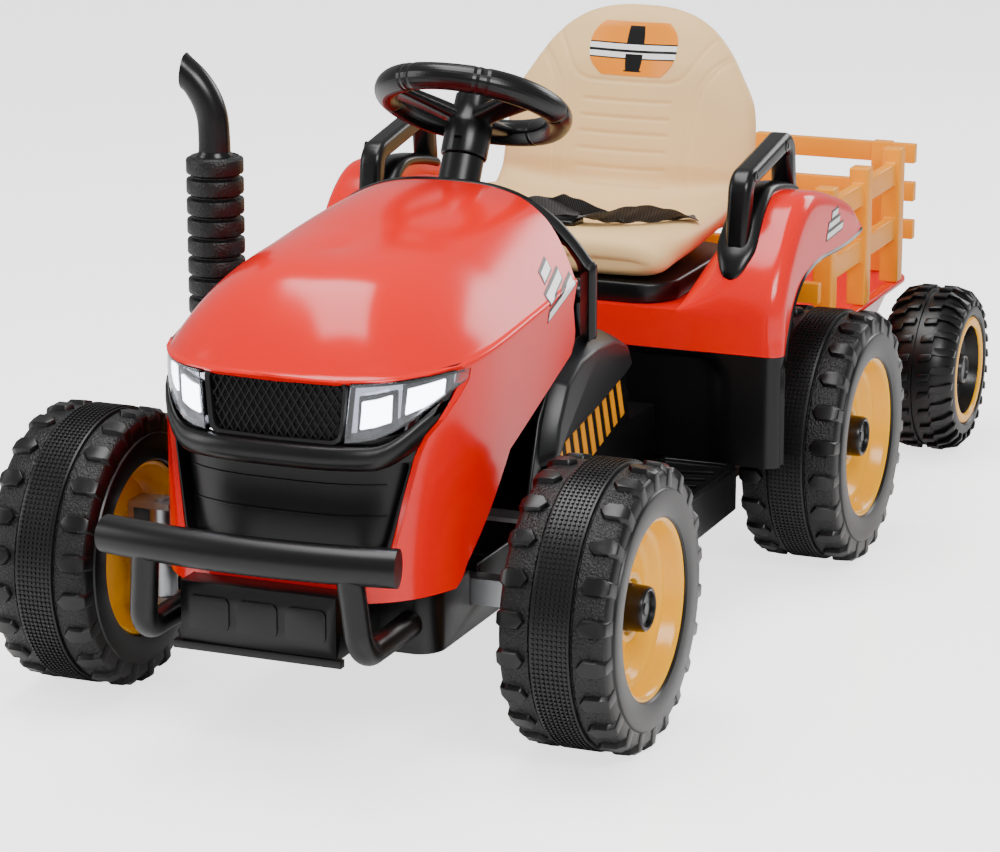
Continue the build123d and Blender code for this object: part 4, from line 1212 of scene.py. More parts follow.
# %% [markdown]
# ## Seat
# The seat is one hollow blow-moulded bucket with the look of a sewn cover: six ribs in the
# middle, double lines down the sides and a contour line under the badge. Its rows run from
# the front lip over the cushion and up the back, as a front and a rear skin that meet at
# the edge. The lines are pressed into the front skin.

# %% Seat shape
seat_low, seat_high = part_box("seat")
SEAT_Y = seat_low[1] / MM
SEAT_Z = seat_low[2] / MM
SEAT_HALF = seat_high[0] / MM
LEAN = Vector((0, sin(radians(18.5)), cos(radians(18.5))))
BACK_OUT = Vector((0, cos(radians(18.5)), -sin(radians(18.5))))
BACK_FOOT = Vector((0, SEAT_Y + 208, SEAT_Z + 14))

cushion_rows = [  # front skin, rear skin and half width, from the front lip to the foot of the back
    ((4, 21), (4, 19), 96), ((0, 26), (6, 10), 114), ((1, 36), (14, 4), 124), ((8, 43), (26, 1), 131),
    ((22, 46), (40, 1), 135), ((46, 45), (60, 1), 138), ((80, 42), (90, 1), 140), ((118, 39), (124, 1), 140),
    ((152, 38), (160, 1), 140), ((184, 40), (194, 2), 140), ((206, 45), (226, 6), 140),
]
back_rows_table = [  # height up the back, share of the half width, thickness
    (44, 1.0, 32), (66, 1.0, 34), (92, 1.0, 34), (115, 0.99, 34), (136, 0.96, 34), (150, 0.915, 34), (
        163, 0.86, 34,
    ),
    (176, 0.805, 33), (189, 0.745, 32), (201, 0.675, 30), (211, 0.605, 28), (220, 0.52, 24), (227, 0.43, 19),
    (232, 0.33, 14), (235.4, 0.22, 8), (237, 0.1, 3),
]
stations = []
for front, rear, half in cushion_rows:
    front_skin = Vector((0, SEAT_Y + front[0], SEAT_Z + front[1]))
    rear_skin = Vector((0, SEAT_Y + rear[0], SEAT_Z + rear[1]))
    stations.append((front_skin, rear_skin, half))
for up, share, thick in back_rows_table:
    front = BACK_FOOT + LEAN * up + BACK_OUT * (34 - thick) / 2
    stations.append((front, front + BACK_OUT * thick, SEAT_HALF * share))
SEAT_ROWS = 260


def station_at(index_share):
    """Front point, rear point and half width part of the way along the stations."""
    spot = min(index_share, len(stations) - 1.0001)
    index, t = int(spot), spot - int(spot)
    a, b, c, d = [stations[max(0, min(len(stations) - 1, index + k))] for k in (-1, 0, 1, 2)]

    def curve(i):
        bend = (a[i] * 2 - b[i] * 5 + c[i] * 4 - d[i]) * t * t
        return (b[i] * 2 + (c[i] - a[i]) * t + bend + (b[i] * 3 - a[i] - c[i] * 3 + d[i]) * t**3) * 0.5

    return curve(0), curve(1), curve(2)


press_lines = [[(0, up), (48, up)] for up in (38, 58, 77, 95, 112, 130)]
press_lines += [
    [(69 + d, 30), (70 + d, 80), (72 + d, 122), (78 + d, 150), (90 + d, 170), (106 + d, 186)] for d in (0, 6)
]
press_lines += [[(0, 151), (46, 151), (57, 155), (66, 165), (76, 184), (86, 200), (95, 210)]]


def line_depth(x, up):
    """How deep the pressed lines are at a place on the back, in millimetres."""
    nearest = 99.0
    for line in press_lines:
        for (x0, up0), (x1, up1) in zip(line, line[1:]):
            dx, dup = x1 - x0, up1 - up0
            t = max(0.0, min(1.0, ((x - x0) * dx + (up - up0) * dup) / (dx * dx + dup * dup)))
            nearest = min(nearest, hypot(x - x0 - t * dx, up - up0 - t * dup))
            if nearest < 0.1:
                return 1.5
    return 1.5 * 2.718 ** (-((nearest / 1.7) ** 2)) if nearest < 6 else 0.0


# %% Seat mesh
COLUMNS = 150


def station_positions():
    """Shares of the stations that give even steps of length."""
    lengths = [max((b[0] - a[0]).length, 2.0) for a, b in zip(stations, stations[1:])]
    total, out = sum(lengths), []
    for step in range(SEAT_ROWS + 1):
        goal, index = total * step / SEAT_ROWS, 0
        while index < len(lengths) - 1 and goal > lengths[index]:
            goal -= lengths[index]
            index += 1
        out.append(index + min(1.0, goal / lengths[index]))
    return out


CUSHION = len(cushion_rows)
skins = [[], []]
for share in station_positions():
    front, rear, half = station_at(share)
    thick = rear - front
    up = (front - BACK_FOOT).dot(LEAN)
    lift_share = max(0.0, min(1.0, (share - 3) / 6)) * max(0.0, min(1.0, (CUSHION + 1 - share) / 3))
    on_back = share > CUSHION - 1
    for skin in (0, 1):
        row = []
        for i in range(COLUMNS + 1):
            angle = pi * i / COLUMNS
            t = -cos(angle)
            squared = 1 - (1 - abs(t) ** 7) ** 0.5
            spot = (front if skin == 0 else rear) + thick * (0.5 * squared * (1 if skin == 0 else -1))
            spot = Vector((half * t, spot.y, spot.z))
            spot.z += 24 * lift_share * abs(t) ** 3
            if skin == 0 and on_back:
                bolster = 7 * sin(pi * min(1.0, abs(t))) ** 2 * (1 if abs(t) > 0.5 else sin(pi * abs(t)))
                spot -= BACK_OUT * bolster * min(1.0, (share - CUSHION + 1) / 2) * min(1.0, (232 - up) / 60)
                spot += BACK_OUT * line_depth(abs(half * t), up)
            row.append(spot)
        skins[skin].append(row)
front_skin = shape_grid("seat_moulded", skins[0])
rear_skin = shape_grid("seat_rear_skin", skins[1])
seat_piece = join(front_skin, rear_skin)
open_edit(seat_piece)
bpy.ops.mesh.select_all(action="SELECT")
bpy.ops.mesh.remove_doubles(threshold=0.25 * MM)
bpy.ops.mesh.select_all(action="DESELECT")
bpy.ops.mesh.select_non_manifold(extend=False)
bpy.ops.mesh.fill_holes(sides=0)
deselect()
close_up(seat_piece, 60)
paint(seat_piece, "seat_beige")
place(seat_piece, "chassis", "seat_beige", "seat")
print("seat", len(seat_piece.data.polygons))


def on_seat(x, up):
    """A point on the front skin of the back."""
    start = Vector((x, 0, 0)) + BACK_FOOT + LEAN * up - BACK_OUT * 60
    hit, spot, normal, face = seat_piece.ray_cast(start * MM, BACK_OUT)
    return spot / MM, normal


def cushion_height(x, y):
    hit, spot, normal, face = seat_piece.ray_cast(Vector((x, y, SEAT_Z + 140)) * MM, Vector((0, 0, -1)))
    return spot.z / MM if hit else SEAT_Z + 45


# %% [markdown]
# ### Badge
# A printed label near the top of the back: an orange shield with cut corners, crossed by
# white and black bars and an upright dark bar. It is laid on the skin, 0.5 mm proud.

# %% Badge
looks["label_orange"] = moulded("printed_label_orange", "#F08A00", 0.3, 2.0, 0.01, spread=0.04)
looks["label_white"] = moulded("printed_label_white", "#F2F2F2", 0.3, 2.0, 0.01, spread=0.02)
looks["label_black"] = moulded("printed_label_black", "#0A0A0B", 0.3, 2.0, 0.01)
badge_rows = []
BADGE_LOW, BADGE_HIGH, BADGE_HALF = 157.0, 216.0, 49.0
for j in range(41):
    up = mix(BADGE_LOW, BADGE_HIGH, j / 40)
    from_middle = abs(up - (BADGE_LOW + BADGE_HIGH) / 2 - 1) / 31
    half = BADGE_HALF * (1 - 0.34 * from_middle**2.6)
    row = []
    for i in range(41):
        spot, normal = on_seat(half * (i / 20 - 1), up)
        row.append(spot + normal * 0.5)
    badge_rows.append(row)
badge = shape_grid("seat_badge", badge_rows)
wall(badge, 0.4, (0, -1, 0.3), 60)
paint(badge, "label_orange", "label_white", "label_black")
for face in badge.data.polygons:
    spot = face.center / MM
    up = (spot - BACK_FOOT).dot(LEAN)
    bar = up - 183.0
    if abs(spot.x) < 9 and 161 < up < 211 and not -2 < bar < 9:
        face.material_index = 2
    elif -8.5 < bar < 9.5:
        face.material_index = 2 if bar < -6.5 or bar > 7.5 or -0.8 < bar < 1.6 else 1
place(badge, "chassis", "seat_beige")
print("badge", len(badge.data.polygons))

# %% [markdown]
# ### Lap belt
# Two black webbing straps come from the rear corners of the cushion and lie slack and
# folded across its middle, with the plastic buckle between them. Webbing is a ribbon with
# ribs about 1.2 mm apart, drawn at 1.6 mm so that they show.

# %% Lap belt
webbing = bpy.data.materials.new("nylon_webbing_ribbed_black")
webbing.use_nodes = True
webbing_shader = webbing.node_tree.nodes["Principled BSDF"]
webbing_shader.inputs["Roughness"].default_value = 0.75
webbing_shader.inputs["Sheen Weight"].default_value = 0.25
webbing_uv = add_node(webbing, "ShaderNodeUVMap", {"uv_map": "weave"}).outputs["UV"]
webbing_ribs = add_node(
    webbing, "ShaderNodeTexWave", {"Scale": 1.0, "Distortion": 0.3}, {"Vector": webbing_uv},
)
webbing_tint = add_node(webbing, "ShaderNodeValToRGB", links={"Fac": webbing_ribs.outputs["Fac"]})
webbing_tint.color_ramp.elements[0].color = linear("#0C0A09")
webbing_tint.color_ramp.elements[1].color = linear("#2A211D")
webbing_bump = add_node(
    webbing, "ShaderNodeBump", {"Strength": 0.8, "Distance": 0.5 * MM},
    {"Height": webbing_ribs.outputs["Fac"]},
)
link(webbing, webbing_tint.outputs["Color"], webbing_shader.inputs["Base Color"])
link(webbing, webbing_bump.outputs["Normal"], webbing_shader.inputs["Normal"])
looks["belt_webbing"] = webbing


def strap(name, path, width, lifts, twist=0.0, steps=60):
    """A ribbon dropped on the cushion along a path of (x, y), lifted as listed."""
    line = smooth_line([(x, y, 0) for x, y in path], steps)
    rows = []
    for index, spot in enumerate(line):
        ahead = (line[min(index + 1, steps)] - line[max(index - 1, 0)]).normalized()
        across = Vector((-ahead.y, ahead.x, 0))
        share = index / steps
        lift_spot = share * (len(lifts) - 1)
        low = int(min(lift_spot, len(lifts) - 2))
        lift = mix(lifts[low], lifts[low + 1], lift_spot - low)
        roll = twist * sin(pi * share)
        row = []
        for k in range(7):
            offset = width * (k / 6 - 0.5)
            at = spot + across * offset * cos(roll)
            height = cushion_height(at.x, at.y) + lift + offset * sin(roll) + 0.8 * sin(k * 1.3 + index * 0.5)
            row.append(Vector((at.x, at.y, height)))
        rows.append(row)
    ribbon = shape_grid(name, rows)
    layer = ribbon.data.uv_layers.new(name="weave")
    length = sum((b - a).length for a, b in zip(line, line[1:]))
    for loop in ribbon.data.loops:
        row_index, column = divmod(loop.vertex_index, 7)
        layer.data[loop.index].uv = (length * row_index / steps / 1.6 / 6.28, column / 60)
    wall(ribbon, 1.4, (0, 0, 1), 60)
    modify(ribbon, "SUBSURF", levels=1, render_levels=1)
    paint(ribbon, "belt_webbing")
    return ribbon


BELT_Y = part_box("belt_buckle")[0][1] / MM + 17
straps = [
    strap(
        "belt_left_strap",
        [(128, BELT_Y + 62), (104, BELT_Y + 46), (72, BELT_Y + 20), (48, BELT_Y + 6), (22, BELT_Y)], 25,
        (4, 8, 12, 10, 9), 0.9,
    ),
    strap(
        "belt_right_strap",
        [(-128, BELT_Y + 62), (-108, BELT_Y + 40), (-84, BELT_Y + 22), (-52, BELT_Y + 12), (-22, BELT_Y)],
        25, (4, 10, 13, 10, 9), -1.0,
    ),
    strap(
        "belt_fold",
        [(-96, BELT_Y + 8), (-74, BELT_Y + 16), (-44, BELT_Y + 2), (-14, BELT_Y + 14), (16, BELT_Y + 22)],
        24, (5, 15, 12, 16, 9), 1.1,
    ),
    strap(
        "belt_tail",
        [(-60, BELT_Y + 30), (-36, BELT_Y + 22), (-6, BELT_Y + 26), (30, BELT_Y + 16), (64, BELT_Y + 24)],
        24, (5, 11, 17, 13, 5), -1.2,
    ),
]
belt = join(*straps)
belt.name = "lap_belt_webbing"
place(belt, "chassis", "belt_webbing", "lap_belt")
print("belt", len(belt.data.polygons))

# %% [markdown]
# ## Steering wheel
# A moulded rim with joint lines, three dished spokes and a hub with a skirt over the
# column. The rim is a torus whose rings are tightened at the joints; each spoke is a stack
# of rounded sections from the hub out to the rim.

# %% Steering wheel
steer = joints["steering_turn"]
steer_centre = Vector(steer["pos_m"])
steer_axis = Vector(steer["axis"]).normalized()
steer_side = Vector((1, 0, 0))
steer_turn = Matrix((steer_side, steer_axis.cross(steer_side), steer_axis)).transposed()
steer_frame = Matrix.Translation(steer_centre) @ steer_turn.to_4x4()
RIM_RADIUS, GRIP = 83.0, 12.8
deselect()
bpy.ops.mesh.primitive_torus_add(
    major_radius=RIM_RADIUS * MM, minor_radius=GRIP * MM, major_segments=180, minor_segments=32, location=(
        0, 0, 0,
    )
)
rim_piece = bpy.context.object
rim_piece.name = "steering_wheel_moulded"
for vertex in rim_piece.data.vertices:
    around = atan2(vertex.co.y, vertex.co.x)
    centre = Vector((cos(around), sin(around), 0)) * RIM_RADIUS * MM
    joint_gap = min(
        abs((around - radians(a) + pi) % (2 * pi) - pi) for a in (-68, -63, -118, -113, 62, 118, 0, 180)
    )
    tight = 0.955 if joint_gap < radians(1.1) else 1.0
    offset = (vertex.co - centre) * tight
    offset.z *= 1.0 + 0.08 * sin(around * 2) ** 2
    vertex.co = centre + offset
spokes = []
for turn in (-152, -28, 90):
    rows = []
    for i in range(15):
        share = i / 14
        reach = mix(10.0, RIM_RADIUS - 4, share)
        half_width = mix(11.5, 17.0, share**1.4)
        half_thick = mix(8.0, 5.5, share)
        level = mix(-15.0, -1.0, share**0.8)
        rows.append([
            Vector((
                reach,
                half_width * (abs(cos(a)) ** 0.6) * (1 if cos(a) > 0 else -1),
                level + half_thick * (abs(sin(a)) ** 0.6) * (1 if sin(a) > 0 else -1),
            ))
            for a in [2 * pi * k / 24 for k in range(25)]
        ])
    rows = [[sum(rows[0][:24], Vector()) / 24] * 25] + rows + [[sum(rows[-1][:24], Vector()) / 24] * 25]
    spoke = close_up(shape_grid(f"spoke_{turn}", rows), 60)
    spoke.data.transform(Matrix.Rotation(radians(turn), 4, "Z"))
    spokes.append(spoke)
hub = lathe(
    "steering_hub",
    [(-53, 0), (-53, 20.6), (-52, 22.0), (-50, 22.5), (-22, 22.5), (-18, 21.8), (-14, 19.5), (-4, 18.6), (
        2, 18.4,
    ),
     (7.4, 18.2), (8.0, 17.6), (8.0, 16.6), (7.4, 16.2), (3.6, 16.0), (3.6, 0)],
    72, axis=(0, 0, 1),
)
slot_block = prism("hub_slot", [(-4, -30, -50), (4, -30, -50), (4, -30, -38), (-4, -30, -38)], (0, 12, 0))
carve(hub, slot_block)
join(rim_piece, hub, *spokes)
rim_piece.data.transform(steer_frame)
paint(rim_piece, "black_grip")
place(rim_piece, "steering", "black_grip", "steering_wheel")
cap = lathe(
    "horn_cap",
    [(7.2, 0), (7.2, 14.6), (11.4, 14.6), (13.0, 14.2), (14.4, 12.8), (15.2, 10.5), (15.6, 0)],
    64, axis=(0, 0, 1),
)
cap.data.transform(steer_frame)
paint(cap, "horn_orange")
place(cap, "horn", "horn_orange", "horn_button")
print("steering wheel", len(rim_piece.data.polygons))

# %% [markdown]
# ## Console, footboards and armrests
# The tunnel between the footboards carries a raised dark pod on each side, with a striped
# plate under it. The footboards have a rounded rim and slanted ribs for grip.

# %% Rounded copies of straight-sided parts
def softened(node, name, width, segments=3, angle=30):
    """A copy of a straight-sided part with its loose triangles merged and edges rounded."""
    piece = copy_of(nodes[node], name, Matrix.Identity(4))
    open_edit(piece)
    bpy.ops.mesh.select_all(action="SELECT")
    bpy.ops.mesh.remove_doubles(threshold=0.01 * MM)
    bpy.ops.mesh.dissolve_limited(angle_limit=radians(0.5))
    deselect()
    modify(
        piece, "BEVEL", width=width * MM, segments=segments, limit_method="ANGLE", angle_limit=radians(angle),
        use_clamp_overlap=True,
    )
    piece.select_set(True)
    bpy.ops.object.shade_smooth_by_angle(angle=radians(40))
    return piece


CONSOLE_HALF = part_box("console")[1][0] / MM
console = softened("console", "console_moulded", 4.0)
paint(console, "black_body")
place(console, "chassis", "black_body", "console")
# ABS from a fine-etched mould: charcoal, with a soft sheen that shows the pod's planes
looks["pod_grey"] = moulded("abs_satin_charcoal_grey", "#1C1D1F", 0.34, 1.4, 0.03, spread=0.08)
# ink on vinyl film: flat amber with a thin even gloss
looks["stripe_orange"] = moulded("printed_label_amber", "#F59A05", 0.3, 2.0, 0.01, spread=0.03)
F_Y = front_axle.y / MM
for side, hand in ((1, "left"), (-1, "right")):
    outline = [
        (F_Y + 150, 196), (F_Y + 168, 214), (F_Y + 270, 232), (F_Y + 352, 252), (F_Y + 366, 258), (
            F_Y + 352, 284,
        ),
        (F_Y + 312, 300), (F_Y + 262, 304), (F_Y + 214, 300), (F_Y + 178, 282), (F_Y + 152, 240), (
            F_Y + 144, 208,
        ),
    ]
    pod = prism(f"pod_{hand}", [(side * (CONSOLE_HALF - 6), y, z) for y, z in outline], (side * 22, 0, 0))
    open_edit(pod)
    pick(pod, lambda f: f.normal.x * side > 0.9)
    bpy.ops.transform.resize(value=(1, 0.9, 0.78))
    deselect()
    modify(pod, "BEVEL", width=3.5 * MM, segments=3, limit_method="ANGLE", angle_limit=radians(25))
    pod.select_set(True)
    bpy.ops.object.shade_smooth_by_angle(angle=radians(40))
    paint(pod, "pod_grey")
    place(pod, "chassis", "black_body")
    plate_outline = [
        (F_Y + 158, 148), (F_Y + 300, 184), (F_Y + 364, 200), (F_Y + 368, 252), (F_Y + 270, 228), (
            F_Y + 166, 209,
        ),
        (F_Y + 150, 192),
    ]
    plate_corners = [(side * (CONSOLE_HALF - 3), y, z) for y, z in plate_outline]
    plate = prism(f"stripe_plate_{hand}", plate_corners, (side * 8, 0, 0))
    modify(plate, "BEVEL", width=1.5 * MM, segments=2, limit_method="ANGLE", angle_limit=radians(30))
    paint(plate, "black_grip")
    place(plate, "chassis", "black_body")
    stripes = []
    for index in range(11):
        start = F_Y + 160 + index * 19.0
        lower = 152 + (start - F_Y - 158) * 0.245
        upper = lower + 52 - index * 0.6
        lean = 15.0
        corners = [
            (start, lower + 3), (start + 9.5, lower + 5.5), (start + 9.5 - lean, upper),
            (start - lean, upper - 2),
        ]
        if corners[3][0] < F_Y + 152:
            corners[3] = (F_Y + 152, upper - 8)
            corners[2] = (F_Y + 156, upper - 4)
        stripe_corners = [(side * (CONSOLE_HALF + 4.8), y, z) for y, z in corners]
        stripe = prism(f"stripe_{hand}_{index}", stripe_corners, (side * 0.7, 0, 0))
        stripes.append(stripe)
    bars = join(*stripes)
    bars.name = f"stripes_{hand}"
    paint(bars, "stripe_orange")
    place(bars, "chassis", "black_body")
print("console sides done")

# %% Footboards
BOARD_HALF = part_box("chassis_pan")[1][0] / MM
pan = softened("chassis_pan", "chassis_pan_moulded", 2.0, 2)
paint(pan, "black_body")
place(pan, "chassis", "black_body", "chassis_pan")
BOARD_FRONT_Y = F_Y + 200.0
BOARD_TOP = 130.0
for side, hand in ((1, "left"), (-1, "right")):
    inner, outer = CONSOLE_HALF + 5.5, BOARD_HALF - 1
    outline = []
    for x, y in [(inner, BOARD_FRONT_Y + 6), (outer - 22, BOARD_FRONT_Y + 3)]:
        outline.append((x, y))
    for i in range(1, 7):
        angle = pi / 2 * i / 6
        outline.append((outer - 22 + 22 * sin(angle), BOARD_FRONT_Y + 25 - 22 * cos(angle)))
    outline += [(outer, BODY_FRONT - 3), (inner, BODY_FRONT - 3)]
    mat = prism(f"footboard_{hand}", [(side * x, y, BOARD_TOP - 0.5) for x, y in outline], (0, 0, 5.5))
    open_edit(mat)
    pick(mat, lambda f: f.normal.z > 0.9)
    bpy.ops.mesh.inset(thickness=7 * MM)
    bpy.ops.mesh.extrude_region_move(TRANSFORM_OT_translate={"value": (0, 0, -4 * MM)})
    deselect()
    modify(mat, "BEVEL", width=1.2 * MM, segments=2, limit_method="ANGLE", angle_limit=radians(40))
    ribs = []
    for index in range(8):
        y = BOARD_FRONT_Y + 34 + index * 26
        if y + 16 > BODY_FRONT - 12:
            break
        ends = [(inner + 10, y), (outer - 10, y + 14), (outer - 10, y + 17), (inner + 10, y + 3)]
        rib_corners = [(side * x, along, BOARD_TOP + 0.5) for x, along in ends]
        rib = prism(f"footboard_rib_{hand}_{index}", rib_corners, (0, 0, 3.6))
        modify(rib, "BEVEL", width=0.7 * MM, segments=2)
        ribs.append(rib)
    join(mat, *ribs)
    mat.select_set(True)
    bpy.ops.object.shade_smooth_by_angle(angle=radians(40))
    paint(mat, "black_grip")
    place(mat, "chassis", "black_body")
print("footboards done")

# %% [markdown]
# ### Armrest feet
# Each handle stands on a black strip that follows the top of the fender, with an oval end
# in front. It is a stack of flattened rounded sections along the fender.

# %% Armrest feet
REST_X = middle("armrest_left").x / MM
feet = []
for side in (1, -1):
    spine = smooth_line([(0, REAR_AXLE_Y + y, z) for y, z in (
        (-150, 316), (-140, 331), (-122, 353), (-104, 371), (-78, 387), (-51, 391), (-10, 385), (22, 377),
        (44, 371))], 48)
    rows = []
    for index, spot in enumerate(spine):
        share = index / 48
        ahead = spine[min(index + 1, 48)] - spine[max(index - 1, 0)]
        up = Vector((0, -ahead.z, ahead.y)).normalized()
        half = 21.0 * min(1.0, (share * 6.5) ** 0.5, ((1 - share) * 9) ** 0.5) * mix(
            1.0, 0.78, min(1.0, max(0, share - 0.2) * 3),
        )
        rise = 7.5 * min(1.0, (share * 9) ** 0.5, ((1 - share) * 12) ** 0.5)
        rows.append([
            Vector((side * (REST_X + half * cos(a)), 0, 0)) + spot
            + up * (rise * (abs(sin(a)) ** 0.7) * (1 if sin(a) > 0 else -0.6))
            for a in [2 * pi * k / 20 for k in range(21)]
        ])
    rows = [[sum(rows[0][:20], Vector()) / 20] * 21] + rows[1:-1] + [[sum(rows[-1][:20], Vector()) / 20] * 21]
    feet.append(close_up(shape_grid(f"armrest_foot_{side}", rows), 50))
armrest_feet = join(*feet)
armrest_feet.name = "armrest_feet"
paint(armrest_feet, "black_grip")
place(armrest_feet, "chassis", "black_body", "armrest_bases")
for hand, side in (("left", 1), ("right", -1)):
    handle = softened(f"armrest_{hand}", f"armrest_{hand}_moulded", 1.2, 2, 40)
    for y, z in ((REAR_AXLE_Y - 108, 415), (REAR_AXLE_Y - 10, 429)):
        plug = lathe(
            f"plug_{hand}_{y:.0f}",
            [(0, 0), (0, 5.4), (0.9, 6.0), (1.3, 5.0), (1.4, 3.6), (0.8, 3.0), (0.8, 0)], 32,
        )
        plug_place = Matrix.Translation(Vector((side * (REST_X + 11.4), y, z)) * MM)
        plug.data.transform(plug_place @ Matrix.Scale(side, 4, (1, 0, 0)))
        close_up(plug)
        join(handle, plug)
    paint(handle, "black_grip")
    place(handle, "chassis", "black_grip", f"armrest_{hand}")
print("armrests done")

# %% [markdown]
# ## Exhaust
# The stack is a column of textured rings with a narrow groove between them, and the pipe
# bends out at the top and is cut on a slant, so that its dark mouth shows.

# %% Exhaust
stack_low, stack_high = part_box("exhaust_stack")
STACK_X = stack_low[0] / MM + 27
STACK_Y = middle("exhaust_stack").y / MM
# ABS from a coarse-etched mould: a 2.4 mm grain breaks up the highlight on the rings
looks["stack_black"] = moulded("abs_knurled_black", "#0A0A0B", 0.42, 2.4, 0.9, spread=0.2)
stack_outline = [(stack_low[2] / MM, 0), (stack_low[2] / MM, 19)]
ring = 19.1
z = stack_low[2] / MM + 1.0
while z + ring < stack_high[2] / MM + 2:
    stack_outline += [(z, 23), (z + 1.6, 24.4), (z + 2.4, 26.6), (z + 4.0, 27.2), (z + 14.6, 27.2), (
        z + 16.0, 26.6,
    ),
                      (z + 16.8, 24.4), (z + 18.2, 23)]
    z += ring
stack_outline += [(stack_high[2] / MM - 1, 22), (stack_high[2] / MM, 19), (stack_high[2] / MM, 0)]
stack = lathe(
    "exhaust_stack_moulded", stack_outline, 72, centre=(STACK_X * MM, STACK_Y * MM, 0), axis=(0, 0, 1),
)
bracket = prism(
    "stack_bracket",
    [
        (STACK_X + 10, STACK_Y - 12, 330), (-HOOD_HALF - 0.5, STACK_Y - 12, 330),
        (-HOOD_HALF - 0.5, STACK_Y + 12, 330), (STACK_X + 10, STACK_Y + 12, 330),
    ],
    (0, 0, 26),
)
modify(bracket, "BEVEL", width=3 * MM, segments=2, limit_method="ANGLE")
join(stack, bracket)
paint(stack, "stack_black")
place(stack, "chassis", "black_body", "exhaust_stack")
STACK_TOP = stack_high[2] / MM
pipe_path = smooth_line([
    (STACK_X, STACK_Y, STACK_TOP - 4), (STACK_X, STACK_Y, STACK_TOP + 18), (
        STACK_X - 1.5, STACK_Y - 0.5, STACK_TOP + 38,
    ),
    (STACK_X - 7, STACK_Y - 2, STACK_TOP + 55), (STACK_X - 16, STACK_Y - 4, STACK_TOP + 69), (
        STACK_X - 27, STACK_Y - 6, STACK_TOP + 80,
    ),
], 40)
pipe_rows = []
for index, spot in enumerate(pipe_path):
    ahead = (pipe_path[min(index + 1, 40)] - pipe_path[max(index - 1, 0)]).normalized()
    side_way = Vector((0, 1, 0)).cross(ahead).normalized()
    other = ahead.cross(side_way)
    radius = 13.0 + (2.2 if index < 3 else 0) - 1.2 * index / 40
    row = []
    for k in range(33):
        angle = 2 * pi * k / 32
        slant = 10 * cos(angle) * max(0.0, (index - 28) / 12)
        row.append(spot + side_way * radius * cos(angle) + other * radius * sin(angle) + ahead * slant)
    pipe_rows.append(row)
pipe = close_up(shape_grid("exhaust_pipe_moulded", pipe_rows), 50)
wall(pipe, 2.2, (-1, 0, 0), 50)
paint(pipe, "black_grip")
place(pipe, "chassis", "black_body", "exhaust_pipe")
print("exhaust", len(stack.data.polygons), len(pipe.data.polygons))

# %% [markdown]
# ## Trailer wheels
# The trailer runs on smaller, rounder tyres with close-set moulded blocks. The outline is
# spun, then each slanted block is shaped once and repeated round both shoulders.

# %% Trailer tyre
t_low, t_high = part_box("trailer_left_tyre")
T_RADIUS, T_HALF = (t_high[2] - t_low[2]) / 2 / MM, (t_high[0] - t_low[0]) / 2 / MM
T_BLOCKS = 26
tread = T_RADIUS - 5.0
trailer_tyre = lathe(
    "trailer_tyre",
    [
        (-2.2, tread), (-1.8, tread - 2.4), (1.8, tread - 2.4), (2.2, tread), (14, tread), (24, tread - 1.6),
        (32, tread - 5.4), (38, tread - 11), (T_HALF - 3.4, 73), (T_HALF - 2.0, 67.5), (T_HALF - 2.6, 63.8), (
            T_HALF - 5, 62,
        ),
        (-T_HALF + 5, 62), (-T_HALF + 2.6, 63.8), (-T_HALF + 2.0, 67.5), (-T_HALF + 3.4, 73), (
            -38, tread - 11,
        ),
        (-32, tread - 5.4), (-24, tread - 1.6), (-14, tread), (-2.2, tread),
    ],
    156,
)
blocks = []
for inner_row in (True, False):
    if inner_row:
        outline = [(4.5, -7), (19, -4.5), (20.5, 3.4), (6, 1.4)]
        block = draw_line("block_inner", [(x, y, tread - 3.0) for x, y in outline], closed=True)
        bpy.ops.mesh.extrude_region_move(TRANSFORM_OT_translate={"value": (0, 0, 7.0 * MM)})
    else:
        outline = [(18, -9.4), (33, -8.4), (41.5, -6.4), (42.5, 2.4), (33, 0.6), (21, -0.6)]
        block = draw_line("block_outer", [(x, y, tread - 3.0) for x, y in outline], closed=True)
        bpy.ops.mesh.extrude_region_move(TRANSFORM_OT_translate={"value": (0, 0, 6.4 * MM)})
        pick(block, lambda v: v.co.x > 30 * MM, "verts")
        bpy.ops.transform.translate(value=(0, 0, -4.2 * MM))
        pick(block, lambda v: v.co.x > 38 * MM, "verts")
        bpy.ops.transform.translate(value=(0.6 * MM, 0, -9.4 * MM))
    bpy.ops.mesh.select_all(action="SELECT")
    bpy.ops.mesh.normals_make_consistent(inside=False)
    bpy.ops.mesh.bevel(offset=1.0 * MM, segments=2, affect="EDGES")
    deselect()
    blocks.append(block)
rows = bmesh.new()
rows.from_mesh(trailer_tyre.data)
for turn in range(T_BLOCKS):
    for block, shift in zip(blocks, (0.0, 0.5)):
        for flip in (0, pi):
            single = block.data.copy()
            angle = 2 * pi * (turn + shift + (0.25 if flip else 0)) / T_BLOCKS
            single.transform(Matrix.Rotation(angle, 4, "X") @ Matrix.Rotation(flip, 4, "Z"))
            rows.from_mesh(single)
            bpy.data.meshes.remove(single)
rows.to_mesh(trailer_tyre.data)
rows.free()
for block in blocks:
    bpy.data.objects.remove(block, do_unlink=True)
deselect()
trailer_tyre.select_set(True)
bpy.ops.object.shade_smooth_by_angle(angle=radians(34))
print("trailer tyre faces", len(trailer_tyre.data.polygons))

# %% [markdown]
# The wheel is black: a yellow trim ring is clipped round a recessed disc with eight bolt
# heads and a grey-black cap in the middle.

